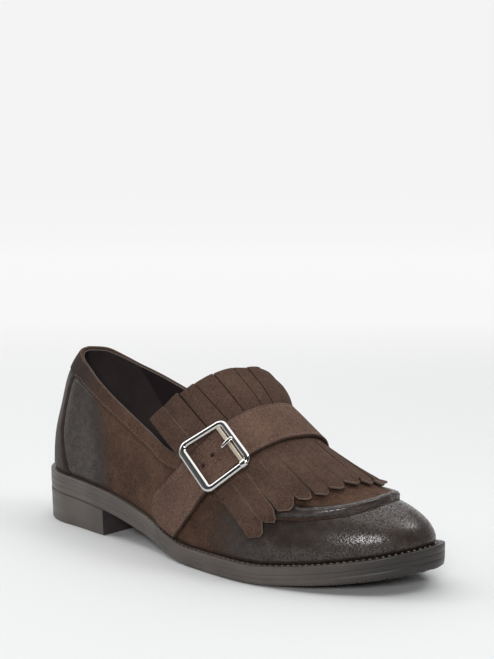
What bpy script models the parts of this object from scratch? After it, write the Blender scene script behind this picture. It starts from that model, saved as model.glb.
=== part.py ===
"""Right-foot loafer with a fringed kiltie flap and a buckled instep strap.

Frame: metres, +Z up, toe towards +X, outer side of the foot towards -Y. The origin lies on the floor under
the middle of the shoe. Every size in this file is in millimetres until a mesh is made. In the draft
coordinates X starts at the back of the sole, and Y is 0 in the middle of the heel.

The last is a fan of cubic sections: each runs from the feather line, where the upper meets the sole, to a
ridge line along the top of the foot. U goes from 0 at the heel to 1 at the toe, and V from 0 at the feather
line to 1 on the ridge.
"""
import math

import bpy
import numpy as np

MILLIMETRE = 0.001
CLEARANCE = 0.3
LATERAL, MEDIAL = -1, 1
SHARP_ANGLE = math.radians(38)


class Table:
    """Rows of sizes against a station, read by column name along a smooth curve that never overshoots."""

    def __init__(self, columns, *rows):
        self.columns = columns.split()
        self.rows = np.array(rows, float)

    def __call__(self, name, at):
        knots, values = self.rows[:, 0], self.rows[:, self.columns.index(name)]
        step = np.diff(knots)
        slope = np.diff(values) / step
        before, after = slope[:-1], slope[1:]
        weight_before, weight_after = 2 * step[1:] + step[:-1], step[1:] + 2 * step[:-1]
        turning = before * after <= 0
        safe_before, safe_after = np.where(turning, 1, before), np.where(turning, 1, after)
        mean = (weight_before + weight_after) / (weight_before / safe_before + weight_after / safe_after)
        tangent = np.concatenate([slope[:1], np.where(turning, 0, mean), slope[-1:]])
        at = np.asarray(at, float)
        i = np.clip(np.searchsorted(knots, at, side="right") - 1, 0, len(knots) - 2)
        t = np.clip((at - knots[i]) / step[i], 0, 1)
        start = (1 + 2 * t) * (1 - t) ** 2 * values[i] + t * (1 - t) ** 2 * step[i] * tangent[i]
        end = t * t * (3 - 2 * t) * values[i + 1] + t * t * (t - 1) * step[i] * tangent[i + 1]
        return start + end


# Sole: plan, side profile and edge
LENGTH = 266.0
HEEL_ROUND, HEEL_ROUND_POWER = 34.0, 2.1
TOE_ROUND, TOE_ROUND_POWER = 60.0, 2.0
TOE_TURN, TOE_TURN_FROM = 6.6, 180.0
OUTLINE = Table("x lateral medial",
                (0, 27.7, 27.7), (30, 27.7, 27.5), (62, 31.1, 29.5), (100, 34.5, 28.5), (140, 44.0, 34.5),
                (180, 47.5, 42.0), (215, 41.5, 41.5), (245, 37.0, 36.0), (266, 36.0, 35.0))
PROFILE = Table("x underside edge",
                (0, 18.5, 11.5), (33, 16.7, 11.5), (66, 14.4, 11.5), (100, 8.2, 10.8), (125, 2.6, 10.0),
                (146, 0, 9.7), (188, 0, 9.7), (215, 2.5, 10.1), (245, 6.9, 11.0), (266, 11.6, 11.7))
OVERHANG = Table("x width", (0, 3.0), (60, 1.8), (105, 1.6), (150, 3.0), (230, 4.0), (266, 4.6))
WELT_HEIGHT = 4.0
SOLE_STATIONS = 46
# Edge profiles: share of the height from the top, and how far the edge draws in there
WELT_EDGE = ((0.0, 0.8), (0.16, 0.0), (0.84, 0.0), (1.0, 0.7))
OUTSOLE_EDGE = ((0.0, 0.7), (0.12, 0.1), (0.86, 0.3), (1.0, 1.2))
HEEL_EDGE = ((0.0, 0.6), (0.05, 0.2), (0.95, 0.8), (1.0, 1.4))
HEEL_BREAST = 66.0
HEEL_STATIONS = 18
INSOLE_THICKNESS, INSOLE_STATIONS = 2.0, 30

# Last: one row for each section of the fan
SECTIONS = Table("u ridge_x ridge_z foot_lean foot_pull ridge_pull",
                 (0.00, 52, 112, 0.5, 34, 40), (0.12, 55, 112, 1, 34, 38), (0.25, 68, 112, 1, 32, 34),
                 (0.36, 92, 111, 1, 32, 32), (0.45, 120, 104, 3, 30, 30), (0.55, 152, 86, 6, 26, 30),
                 (0.64, 184, 62.3, 10, 20, 30), (0.72, 208, 50.5, 12, 15, 26),
                 (0.82, 224, 44.5, 11, 12, 20.5), (0.91, 229, 43, 8, 11, 18), (1.00, 231, 42.5, 5, 10.5, 17))

# Upper: wall, topline, raised apron seam and back strip
UPPER_WALL = 2.0
THROAT = 0.545
COLLAR = Table("u lateral medial",
               (0.00, 99.5, 99.5), (0.10, 99.5, 99.8), (0.20, 95.2, 95.5), (0.28, 87.4, 88.5),
               (0.36, 76.6, 79.0), (0.42, 66.3, 70.0), (0.465, 59.0, 62.5), (0.50, 57.6, 61.0),
               (0.525, 68.0, 70.0), (0.545, 92.0, 92.0))
UPPER_COLUMNS = ((0.0, 0.45, 15), (0.45, THROAT, 8), (THROAT, 1.0, 22))
CREASE = Table("u v", (0.0, 0.34), (0.50, 0.31), (0.62, 0.345), (0.70, 0.417), (0.735, 0.467), (0.774, 0.541),
               (0.818, 0.645), (0.86, 0.72), (0.902, 0.784), (1.0, 0.82))
SEAM_FADE_FROM, SEAM_FULL_AT = 0.62, 0.74
# Apron seam across its width: distance above the crease in V, and height of the wall there
SEAM_STEP = ((0.0, 0.0), (0.02, 2.0), (0.055, 3.0), (0.095, 1.7), (0.12, 0.9), (1.0, 0.9))
ROWS_UNDER_SEAM, ROWS_OVER_SEAM = 4, 5
BACK_STRIP_EDGE, BACK_STRIP_STEP, BACK_STRIP_RISE = 0.178, 0.006, 0.8

# Kiltie flap: B is the distance along its slope from the top of the foot down to the toe
FLAP_SLOPE = math.radians(34)
SLOPE_FROM, SLOPE_SAMPLES = 0.2, 321
FLAP_EDGE = Table("b v", (44, 0.472), (80, 0.40), (112, 0.34), (130, 0.27), (150, 0.185), (166, 0.12))
FLAP_WALL, FLAP_GAP = 1.5, 0.6
FLAP_REACH, FLAP_PROBES = 0.10, 9
TOP_STRIPS, TOP_ROOT = 12, 84.0
TOP_END = Table("s b", (-1.0, 48.5), (-0.8, 50.5), (-0.5, 56.0), (0.0, 62.0), (0.3, 68.0), (0.6, 64.5),
                (1.0, 55.0))
TOP_FLARE = Table("s lift", (-1.0, 1.6), (-0.5, 2.2), (0.0, 3.4), (0.3, 9.5), (0.5, 13.5), (0.75, 12.5),
                  (1.0, 6.0))
LOWER_STRIPS, LOWER_ROOT, LOWER_FLARE = 15, 118.0, 0.9
LOWER_END = Table("s b", (-1.0, 147.0), (-0.8, 147.0), (-0.5, 152.5), (0.0, 159.5), (0.4, 161.0),
                  (0.7, 159.0), (1.0, 155.0))
STRIP_ROWS = 4
STRIP_POINT = 4.0
SLIT = 0.010

# Strap: Q is 0 at the outer foot, 1 on the ridge and 2 at the inner foot
STRAP = Table("q b half_width", (0.0, 92.5, 10.2), (0.15, 94.4, 11.0), (0.35, 96.8, 11.4), (0.65, 99.4, 11.7),
              (0.93, 101.2, 11.8), (1.2, 103.0, 12.0), (1.7, 104.0, 11.4), (2.0, 103.0, 10.4))
STRAP_WALL, STRAP_GAP, STRAP_FOOT = 2.0, 0.4, 0.035
STRAP_STATIONS, STRAP_COLUMNS = 44, 5
STRAP_CLIMB_FROM, STRAP_CLIMB_TO = 0.20, 0.345

# Buckle: frame of round wire, flat bar and stub prong, in the plane of the strap under it. Corners lie on the
# middle of the wire: distance up the strap, and distance from the strap's middle towards the heel
BUCKLE_AT = 0.525
BUCKLE_CORNERS = np.array([(-13.2, -14.0), (14.4, -13.2), (12.0, 11.0), (-16.4, 17.4)])
BUCKLE_WIRE, BUCKLE_ROUND, BUCKLE_RISE = 3.4, 4.5, 1.4
WIRE_SIDES, CORNER_STEPS = 10, 5
BAR_SHARE, BAR_WIDTH, BAR_HEIGHT, BAR_RISE = 0.83, 2.4, 1.4, 0.2
PRONG_LENGTH, PRONG_WIDTH, PRONG_HEIGHT, PRONG_SHARE, PRONG_SHIFT = 6.4, 2.2, 1.2, 0.55, -0.8


def centre_line(x):
    """Y of the shoe's middle line: straight at the heel, bent inwards along a parabola at the toe."""
    return TOE_TURN * np.clip((x - TOE_TURN_FROM) / (LENGTH - TOE_TURN_FROM), 0, 1) ** 2


def side_name(side):
    """Column name of a side in the tables."""
    return "lateral" if side == LATERAL else "medial"


def half_width(x, side):
    """Half width of the sole: the table, closed by a rounded heel and an elliptical toe."""
    heel = np.clip((HEEL_ROUND - x) / HEEL_ROUND, 0, 1) ** HEEL_ROUND_POWER
    toe = np.clip((x - LENGTH + TOE_ROUND) / TOE_ROUND, 0, 1) ** TOE_ROUND_POWER
    return OUTLINE(side_name(side), x) * np.sqrt((1 - heel) * (1 - toe))


def sole_edge(u, side):
    """Plan point of the sole's edge; stations crowd towards the round ends."""
    x = LENGTH * 0.5 * (1 - np.cos(np.pi * np.asarray(u, float)))
    return np.stack([x, centre_line(x) + side * half_width(x, side)], -1)


def inset_edge(u, side, inset):
    """Sole edge moved inwards, square to itself, by the inset."""
    u = np.asarray(u, float)
    reach = 1e-4
    along = sole_edge(np.clip(u + reach, 0, 1), side) - sole_edge(np.clip(u - reach, 0, 1), side)
    along /= np.linalg.norm(along, axis=-1, keepdims=True)
    inwards = np.stack([side * along[..., 1], -side * along[..., 0]], -1)
    return sole_edge(u, side) + inwards * np.asarray(inset)[..., None]


def underside(x):
    """Height of the sole's underside, with arch and toe spring."""
    return PROFILE("underside", x)


def sole_top(x):
    """Height of the surface that the upper stands on."""
    return PROFILE("underside", x) + PROFILE("edge", x)


def feather(u, side):
    """Foot of the upper: the sole's edge drawn in by the overhang."""
    plan = inset_edge(u, side, OVERHANG("width", sole_edge(u, side)[..., 0]))
    return np.concatenate([plan, sole_top(plan[..., :1]) + CLEARANCE], -1)


def last(u, v, side):
    """Point of the last: cubic from the feather line, rising with a lean, to a level end on the ridge."""
    u, v = np.broadcast_arrays(np.asarray(u, float), np.asarray(v, float))
    foot = feather(u, side)
    ridge_x = SECTIONS("ridge_x", u)
    ridge = np.stack([ridge_x, centre_line(ridge_x), SECTIONS("ridge_z", u)], -1)
    outwards = (foot - ridge) * (1, 1, 0)
    outwards /= np.linalg.norm(outwards, axis=-1, keepdims=True)
    lean = np.radians(SECTIONS("foot_lean", u))[..., None]
    rising = outwards * np.sin(lean) + np.array([0, 0, 1]) * np.cos(lean)
    low = foot + rising * SECTIONS("foot_pull", u)[..., None]
    high = ridge + outwards * SECTIONS("ridge_pull", u)[..., None]
    v = v[..., None]
    return (1 - v) ** 3 * foot + 3 * v * (1 - v) ** 2 * low + 3 * v * v * (1 - v) * high + v ** 3 * ridge


def last_normal(u, v, side):
    """Outward normal of the last, from differences along U and V."""
    reach = 1e-3
    u, v = np.broadcast_arrays(np.asarray(u, float), np.asarray(v, float))
    along_u = last(np.clip(u + reach, 0, 1), v, side) - last(np.clip(u - reach, 0, 1), v, side)
    along_v = last(u, np.clip(v + reach, 0, 1), side) - last(u, np.clip(v - reach, 0, 1), side)
    normal = np.cross(along_u, along_v) * -side
    return normal / np.linalg.norm(normal, axis=-1, keepdims=True)


def wall_step(u, v):
    """Height of the wall over the last: the apron seam with the plug inside it, fading towards the waist."""
    fade = np.clip((u - SEAM_FADE_FROM) / (SEAM_FULL_AT - SEAM_FADE_FROM), 0, 1)
    rise, height = np.array(SEAM_STEP).T
    return np.interp(v - CREASE("v", u), rise, height) * fade * fade * (3 - 2 * fade)


def collar_v(u, side):
    """V of the topline: where the section reaches the collar's height, or the ridge past the throat."""
    samples = np.linspace(0, 1, 201)
    heights = COLLAR(side_name(side), u)
    reached = [np.interp(h, last(one, samples, side)[:, 2], samples) for one, h in zip(u, heights)]
    return np.where(u < THROAT, reached, 1.0)


OUTLINE_SAMPLES = np.linspace(0, 1, 401)
WIDEST = [(sole_edge(OUTLINE_SAMPLES, side)[:, 1] * side).max() * side for side in (LATERAL, MEDIAL)]
ORIGIN = np.array([LENGTH / 2, sum(WIDEST) / 2, 0])


def material(name, colour, roughness, metallic=0.0):
    """Principled material with one colour."""
    made = bpy.data.materials.new(name)
    made.use_nodes = True
    shader = made.node_tree.nodes["Principled BSDF"]
    shader.inputs["Base Color"].default_value = (*colour, 1.0)
    shader.inputs["Roughness"].default_value = roughness
    shader.inputs["Metallic"].default_value = metallic
    made.diffuse_color = (*colour, 1.0)
    return made


def add_object(name, points, faces, finish, parent):
    """Mesh object from points in draft coordinates, moved to the shoe's origin."""
    mesh = bpy.data.meshes.new(name)
    mesh.from_pydata((np.asarray(points) - ORIGIN) * MILLIMETRE, [], [tuple(map(int, f)) for f in faces])
    mesh.materials.append(finish)
    mesh.shade_smooth()
    mesh.set_sharp_from_angle(angle=SHARP_ANGLE)
    made = bpy.data.objects.new(name, mesh)
    made.parent = parent
    bpy.context.scene.collection.objects.link(made)
    return made


def closed_shell(outer, inner, faces):
    """Solid between two sheets of points with the same faces; open edges get a wall."""
    count = len(outer)
    edges = {(a, b) for face in faces for a, b in zip(face, face[1:] + face[:1])}
    rim = [(a, b) for a, b in sorted(edges) if (b, a) not in edges]
    back = [tuple(count + i for i in reversed(face)) for face in faces]
    walls = [(b, a, a + count, b + count) for a, b in rim]
    return np.concatenate([outer, inner]), faces + back + walls


def grid_faces(index, flip=False):
    """Quads of a grid of point numbers, turned over where flip is set."""
    quads = [(index[i, j], index[i + 1, j], index[i + 1, j + 1], index[i, j + 1])
             for i in range(index.shape[0] - 1) for j in range(index.shape[1] - 1)]
    return [tuple(reversed(quad)) for quad in quads] if flip else quads


def stacked_solid(levels, pointed_toe):
    """Solid of stacked rings, top to bottom. A level is a pair of lateral and medial lines, heel first, that
    share their first point, and their last one too where the toe is pointed."""
    stations = len(levels[0][0])
    last_medial = stations - 1 if pointed_toe else stations
    rings = [np.concatenate([lateral, medial[1:last_medial][::-1]]) for lateral, medial in levels]
    size = len(rings[0])
    medial_of = [(size - i) % size for i in range(stations)]
    if pointed_toe:
        medial_of[-1] = stations - 1
    top = []
    for i in range(stations - 1):
        ring = [i, i + 1, medial_of[i + 1], medial_of[i]]
        top.append(tuple(dict.fromkeys(ring)))
    base = size * (len(rings) - 1)
    bottom = [tuple(base + i for i in reversed(face)) for face in top]
    walls = []
    for level in range(len(rings) - 1):
        upper, lower = level * size, (level + 1) * size
        for a in range(size):
            b = (a + 1) % size
            walls.append((lower + a, lower + b, upper + b, upper + a))
    return np.concatenate(rings), top + bottom + walls


def edge_level(stations, inset, height_at):
    """Pair of lines of the sole's outline at one inset, with heights worked out from X."""
    lines = []
    for side in (LATERAL, MEDIAL):
        plan = inset_edge(stations, side, np.broadcast_to(inset, stations.shape))
        lines.append(np.column_stack([plan, height_at(plan[:, 0])]))
    return lines


def sole_layer(stations, top_at, bottom_at, edge, pointed_toe):
    """Layer of the sole between two heights, with its edge profile."""
    levels = [edge_level(stations, inset, lambda x, s=share: top_at(x) * (1 - s) + bottom_at(x) * s)
              for share, inset in edge]
    return stacked_solid(levels, pointed_toe)


def build_sole(parent):
    """Welt, outsole and heel block, one under the other."""
    rubber = material("sole_rubber", (0.060, 0.049, 0.043), 0.45)
    whole = np.linspace(0, 1, SOLE_STATIONS)
    heel_end = math.acos(1 - 2 * HEEL_BREAST / LENGTH) / math.pi
    heel = np.linspace(0, heel_end, HEEL_STATIONS)
    layers = (
        ("welt", whole, sole_top, lambda x: sole_top(x) - WELT_HEIGHT, WELT_EDGE, True),
        ("outsole", whole, lambda x: sole_top(x) - WELT_HEIGHT - CLEARANCE, underside, OUTSOLE_EDGE, True),
        ("heel", heel, lambda x: underside(x) - CLEARANCE, lambda x: 0 * x, HEEL_EDGE, False),
    )
    for name, stations, top_at, bottom_at, edge, pointed in layers:
        add_object(name, *sole_layer(stations, top_at, bottom_at, edge, pointed), rubber, parent)


def build_insole(parent):
    """Insole board with its sock, inside the foot of the upper."""
    stations = np.linspace(0, 1, INSOLE_STATIONS)
    inset = OVERHANG("width", sole_edge(stations, LATERAL)[:, 0]) + UPPER_WALL + 2 * CLEARANCE
    levels = [edge_level(stations, inset, lambda x, h=height: sole_top(x) + CLEARANCE + h)
              for height in (INSOLE_THICKNESS, 0.0)]
    sock = material("insole_sock", (0.040, 0.032, 0.030), 0.6)
    add_object("insole", *stacked_solid(levels, True), sock, parent)


def upper_rows(crease, top):
    """V of the upper's rows for one column: even up to the crease, close over the seam, even to the top.
    Under a low topline the crease and the seam's rows move down."""
    crease = min(crease, top / 2)
    squeeze = min(1.0, (top - crease) / 2 / SEAM_STEP[-2][0])
    seam = [crease + rise * squeeze for rise, _ in SEAM_STEP[:-1]]
    under = np.linspace(0, crease, ROWS_UNDER_SEAM, endpoint=False)
    over = np.linspace(seam[-1], top, ROWS_OVER_SEAM + 1)[1:]
    return np.concatenate([under, seam, over])


def build_upper(parent):
    """Hollow upper, open at the collar and underneath, with its raised seam and back strip."""
    parts = [np.linspace(start, end, count, endpoint=False) for start, end, count in UPPER_COLUMNS]
    u = np.concatenate(parts + [[BACK_STRIP_EDGE, BACK_STRIP_EDGE + BACK_STRIP_STEP, 1.0]])
    u = np.unique(np.round(u, 6))
    crease = CREASE("v", u)
    sheets = {}
    for side in (LATERAL, MEDIAL):
        rows = np.array([upper_rows(c, top) for c, top in zip(crease, collar_v(u, side))])
        column = np.broadcast_to(u[:, None], rows.shape)
        rise = wall_step(column, rows) + np.where(column <= BACK_STRIP_EDGE, BACK_STRIP_RISE, 0.0)
        sheets[side] = (last(column, rows, side), last_normal(column, rows, side), rise)
    shape = sheets[LATERAL][2].shape
    lateral = np.arange(u.size * shape[1]).reshape(shape)
    medial = lateral + lateral.size
    medial[0], medial[-1] = lateral[0], lateral[-1]
    vamp = u >= THROAT - 1e-6
    medial[vamp, -1] = lateral[vamp, -1]
    points = np.concatenate([sheets[side][0].reshape(-1, 3) for side in (LATERAL, MEDIAL)])
    rise = np.concatenate([sheets[side][2].reshape(-1) for side in (LATERAL, MEDIAL)])
    normals = np.zeros_like(points)
    np.add.at(normals, lateral.ravel(), sheets[LATERAL][1].reshape(-1, 3))
    np.add.at(normals, medial.ravel(), sheets[MEDIAL][1].reshape(-1, 3))
    used, numbers = np.unique(np.concatenate([lateral.ravel(), medial.ravel()]), return_inverse=True)
    points, rise, normals = points[used], rise[used], normals[used]
    normals /= np.linalg.norm(normals, axis=1, keepdims=True)
    lateral, medial = numbers.reshape(2, *shape)
    faces = grid_faces(lateral) + grid_faces(medial, flip=True)
    outer, inner = points + normals * rise[:, None], points - normals * UPPER_WALL
    suede = material("upper_suede", (0.075, 0.047, 0.035), 0.85)
    add_object("upper", *closed_shell(outer, inner, faces), suede, parent)


def slope_station(v, b, side):
    """U at which the line of one V on the last lies at a distance B along the flap's slope."""
    samples = np.linspace(SLOPE_FROM, 1, SLOPE_SAMPLES)
    line = last(samples, v, side)
    along = line[:, 0] * math.cos(FLAP_SLOPE) - line[:, 2] * math.sin(FLAP_SLOPE)
    return float(np.interp(b, along, samples))


def flap_point(s, b):
    """Place on the last of a point of the flap: U, V and side. S is its share of the half width, from -1 at
    the outer edge to 1 at the inner edge, and B its distance along the flap's slope."""
    side = LATERAL if s <= 0 else MEDIAL
    v = 1 - abs(s) * (1 - float(FLAP_EDGE("v", b)))
    return slope_station(v, b, side), v, side


def draped(places, gaps, wall):
    """Outer and inner sheets of a piece laid over the last at the given gaps."""
    points = np.array([last(*place) for place in places])
    normals = np.array([last_normal(*place) for place in places])
    inner = points + normals * np.asarray(gaps)[:, None]
    return inner + normals * wall, inner


def flap_gap(u, v):
    """Gap of the flap over the last, clear of the apron seam under it."""
    nearby = np.clip(v + np.linspace(-FLAP_REACH, FLAP_REACH, FLAP_PROBES), 0, 1)
    return FLAP_GAP + float(wall_step(np.full(FLAP_PROBES, u), nearby).max())


class Flap:
    """Collects the kiltie's points by place, and its faces, before they become one solid."""

    def __init__(self):
        self.places, self.gaps, self.shares, self.faces = [], [], [], []

    def add(self, s, b, flare=0.0):
        """Add one point and return its number."""
        place = flap_point(s, b)
        self.places.append(place)
        self.gaps.append(flap_gap(*place[:2]) + flare)
        self.shares.append(s)
        return len(self.places) - 1

    def zip_rows(self, far, near):
        """Triangles between two rows of points, the far one nearer the toe."""
        i = j = 0
        while i < len(far) - 1 or j < len(near) - 1:
            next_far = self.shares[far[i + 1]] if i < len(far) - 1 else math.inf
            next_near = self.shares[near[j + 1]] if j < len(near) - 1 else math.inf
            if next_far <= next_near:
                self.faces.append((far[i], far[i + 1], near[j]))
                i += 1
            else:
                self.faces.append((far[i], near[j + 1], near[j]))
                j += 1


def strip_edges(count):
    """Shares of the half width at which each strip starts and ends, with a slit between neighbours."""
    cuts = np.linspace(-1, 1, count + 1)
    starts, ends = cuts[:-1] + SLIT / 2, cuts[1:] - SLIT / 2
    starts[0], ends[-1] = -1, 1
    return list(zip(starts, ends))


def build_kiltie(parent):
    """Kiltie flap: a band under the strap with strips cut up from it and pointed strips cut down from it."""
    flap = Flap()
    top_strips, lower_strips = strip_edges(TOP_STRIPS), strip_edges(LOWER_STRIPS)
    root = [flap.add(s, TOP_ROOT) for strip in top_strips for s in strip]
    middle = [flap.add(flap.shares[i], (TOP_ROOT + LOWER_ROOT) / 2) for i in root]
    lower_columns = [(start, (start + end) / 2, end) for start, end in lower_strips]
    hem = [flap.add(s, LOWER_ROOT) for strip in lower_columns for s in strip]
    flap.zip_rows(middle, root)
    flap.zip_rows(hem, middle)
    for k, strip in enumerate(top_strips):
        row = root[2 * k:2 * k + 2]
        for step in np.linspace(0, 1, STRIP_ROWS + 1)[1:]:
            lengths = [float(TOP_END("b", s)) - TOP_ROOT for s in strip]
            lifts = [float(TOP_FLARE("lift", s)) * step * (2 - step) for s in strip]
            upper = [flap.add(s, TOP_ROOT + length * step, lift)
                     for s, length, lift in zip(strip, lengths, lifts)]
            flap.faces += grid_faces(np.array([row, upper]).T)
            row = upper
    for k, strip in enumerate(lower_columns):
        row = hem[3 * k:3 * k + 3]
        for step in np.linspace(0, 1, STRIP_ROWS + 1)[1:]:
            ends = [float(LOWER_END("b", strip[1])) - cut for cut in (STRIP_POINT, 0, STRIP_POINT)]
            lower = [flap.add(s, LOWER_ROOT + (end - LOWER_ROOT) * step, LOWER_FLARE * step ** 2)
                     for s, end in zip(strip, ends)]
            flap.faces += grid_faces(np.array([lower, row]).T)
            row = lower
    outer, inner = draped(flap.places, flap.gaps, FLAP_WALL)
    suede = material("kiltie_suede", (0.080, 0.056, 0.040), 0.9)
    add_object("kiltie", *closed_shell(outer, inner, flap.faces), suede, parent)


def strap_place(q, across):
    """Place of a point of the strap, and its gap: on the upper at the feet, over the flap on the foot."""
    v, side = min(q, 2 - q), LATERAL if q <= 1 else MEDIAL
    b = float(STRAP("b", q)) + across * float(STRAP("half_width", q))
    climb = np.clip((v - STRAP_CLIMB_FROM) / (STRAP_CLIMB_TO - STRAP_CLIMB_FROM), 0, 1)
    gap = STRAP_GAP + (FLAP_GAP + FLAP_WALL) * climb * climb * (3 - 2 * climb)
    return (slope_station(v, b, side), v, side), gap


def build_strap(parent):
    """Strap from the outer feather line over the flap to the inner feather line."""
    stations = np.linspace(STRAP_FOOT, 2 - STRAP_FOOT, STRAP_STATIONS)
    columns = np.linspace(-1, 1, STRAP_COLUMNS)
    laid = [strap_place(q, across) for q in stations for across in columns]
    outer, inner = draped([place for place, _ in laid], [gap for _, gap in laid], STRAP_WALL)
    index = np.arange(len(laid)).reshape(STRAP_STATIONS, STRAP_COLUMNS)
    suede = material("strap_suede", (0.092, 0.055, 0.041), 0.9)
    add_object("strap", *closed_shell(outer, inner, grid_faces(index, flip=True)), suede, parent)


def strap_frame(q):
    """Point on the middle of the strap's outer face, with its directions along, across and out."""
    def face(at, across):
        place, gap = strap_place(at, across)
        return last(*place) + last_normal(*place) * (gap + STRAP_WALL)
    reach = 0.02
    along = face(q + reach, 0) - face(q - reach, 0)
    along /= np.linalg.norm(along)
    across = face(q, -0.3) - face(q, 0.3)
    across -= along * along.dot(across)
    across /= np.linalg.norm(across)
    return face(q, 0), along, across, np.cross(along, across)


def rounded_outline(corners, radius, steps):
    """Closed path of a polygon with round corners: points and outward directions in its plane."""
    path = []
    for k, here in enumerate(corners):
        before, after = corners[k - 1] - here, corners[(k + 1) % len(corners)] - here
        before, after = before / np.linalg.norm(before), after / np.linalg.norm(after)
        half = math.acos(before.dot(after)) / 2
        middle = here + (before + after) / np.linalg.norm(before + after) * radius / math.sin(half)
        start = here + before * radius / math.tan(half) - middle
        end = here + after * radius / math.tan(half) - middle
        turn = math.atan2(start[0] * end[1] - start[1] * end[0], start.dot(end))
        for angle in np.linspace(0, turn, steps):
            cosine, sine = math.cos(angle), math.sin(angle)
            outwards = np.array([cosine * start[0] - sine * start[1], sine * start[0] + cosine * start[1]])
            path.append((middle + outwards, outwards / radius))
    return path


def wire_ring(path, radius, origin, axes):
    """Points and faces of a round wire along a closed path in a plane."""
    angles = 2 * math.pi * np.arange(WIRE_SIDES) / WIRE_SIDES
    points = []
    for place, outwards in path:
        for angle in angles:
            local = np.append(place + outwards * radius * math.cos(angle), radius * math.sin(angle))
            points.append(origin + local @ axes)
    index = np.arange(len(points)).reshape(len(path), WIRE_SIDES)
    return points, grid_faces(np.pad(index, ((0, 1), (0, 1)), mode="wrap"))


def placed_box(size, middle, axes):
    """Box of a size along three axes, around its middle."""
    corners = ((-0.5, -0.5), (0.5, -0.5), (0.5, 0.5), (-0.5, 0.5))
    signs = np.array([(x, y, z) for z in (-0.5, 0.5) for x, y in corners])
    faces = [(3, 2, 1, 0), (4, 5, 6, 7)] + [(k, (k + 1) % 4, (k + 1) % 4 + 4, k + 4) for k in range(4)]
    return middle + (signs * size) @ axes, faces


def build_buckle(parent):
    """Buckle frame with its bar in one solid, and the stub prong over the bar."""
    origin, along, heelwards, out = strap_frame(BUCKLE_AT)
    axes = np.array([along, heelwards, out])
    origin = origin + out * BUCKLE_RISE
    path = rounded_outline(BUCKLE_CORNERS, BUCKLE_ROUND, CORNER_STEPS)
    chrome = material("buckle_chrome", (0.72, 0.71, 0.69), 0.12, 1.0)
    ring = add_object("buckle_frame", *wire_ring(path, BUCKLE_WIRE / 2, origin, axes), chrome, parent)
    low_toe, high_toe, high_heel, low_heel = BUCKLE_CORNERS
    toe_end = low_toe + (high_toe - low_toe) * BAR_SHARE
    heel_end = low_heel + (high_heel - low_heel) * BAR_SHARE
    span = np.linalg.norm(heel_end - toe_end)
    bar_y = np.append(heel_end - toe_end, 0) @ axes / span
    bar_axes = np.array([np.cross(bar_y, out), bar_y, out])
    middle = origin + np.append((toe_end + heel_end) / 2, BAR_RISE) @ axes
    bar_box = placed_box((BAR_WIDTH, span, BAR_HEIGHT), middle, bar_axes)
    bar = add_object("buckle_bar_cutter", *bar_box, chrome, parent)
    bar.hide_render = True
    bar.display_type = "WIRE"
    joined = ring.modifiers.new("bar", "BOOLEAN")
    joined.operation = "UNION"
    joined.solver = "EXACT"
    joined.object = bar
    across_bar = toe_end + (heel_end - toe_end) * PRONG_SHARE
    rise = BAR_RISE + BAR_HEIGHT / 2 + CLEARANCE + PRONG_HEIGHT / 2
    seat = origin + np.append(across_bar, rise) @ axes + bar_axes[0] * PRONG_SHIFT
    prong_size = (PRONG_LENGTH, PRONG_WIDTH, PRONG_HEIGHT)
    add_object("buckle_prong", *placed_box(prong_size, seat, bar_axes), chrome, parent)


def main():
    """Clear the scene and build every piece under one empty."""
    for old in list(bpy.data.objects):
        bpy.data.objects.remove(old)
    shoe = bpy.data.objects.new("shoe", None)
    bpy.context.scene.collection.objects.link(shoe)
    for build in (build_sole, build_insole, build_upper, build_kiltie, build_strap, build_buckle):
        build(shoe)


main()
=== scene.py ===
"""Looks of a right-foot loafer with a fringed kiltie flap and a buckled instep strap.

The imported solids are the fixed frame: metres, +Z up, toe towards +X, outer side of the foot towards -Y. Sizes
of the shoe in this file are millimetres in draft coordinates, where X starts at the back of the sole and Y is
0 in the middle of the heel. They become metres when a mesh is made. Finishes and studio are in metres.

Every surface is worked out on a grid. On the last, U goes from 0 at the heel to 1 at the toe, and V from 0 at
the feather line, where the upper meets the sole, to 1 on the ridge along the top of the foot.

A Span is two values, such as the start and end of a soft step. A Run is a start, an end and a count of places.
A Noise is features in a metre, detail and roughness.
"""
import logging
import math
from dataclasses import dataclass, field
from enum import Enum
from typing import Callable, Iterable, Iterator, Sequence

import bpy
import numpy as np
from mathutils import Matrix


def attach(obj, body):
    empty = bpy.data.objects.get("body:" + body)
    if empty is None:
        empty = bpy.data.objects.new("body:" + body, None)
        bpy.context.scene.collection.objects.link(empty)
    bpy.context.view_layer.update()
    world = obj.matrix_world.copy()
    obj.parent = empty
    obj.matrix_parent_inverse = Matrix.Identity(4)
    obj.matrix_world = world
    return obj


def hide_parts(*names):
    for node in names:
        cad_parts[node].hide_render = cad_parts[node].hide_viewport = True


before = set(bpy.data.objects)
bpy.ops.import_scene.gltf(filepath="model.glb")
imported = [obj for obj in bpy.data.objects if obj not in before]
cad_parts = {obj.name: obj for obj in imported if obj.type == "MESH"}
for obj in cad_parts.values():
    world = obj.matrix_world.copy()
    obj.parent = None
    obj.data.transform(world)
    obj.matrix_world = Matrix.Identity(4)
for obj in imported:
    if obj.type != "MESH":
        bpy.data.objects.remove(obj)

LOG = logging.getLogger("loafer")
MILLIMETRE = 0.001
CLEARANCE = 0.3
TINY = 1e-6
SAME_COLUMN = 1e-5
NO_WAX = -1.0
BODY = "root"

Array = np.ndarray
Colour = tuple[float, float, float]
Span = tuple[float, float]
Run = tuple[float, float, int]
Noise = tuple[float, float, float]
Socket = bpy.types.NodeSocket
Material = bpy.types.Material


class Side(Enum):
    """Side of a right foot, with the sign of its Y."""
    LATERAL = -1
    MEDIAL = 1


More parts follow.
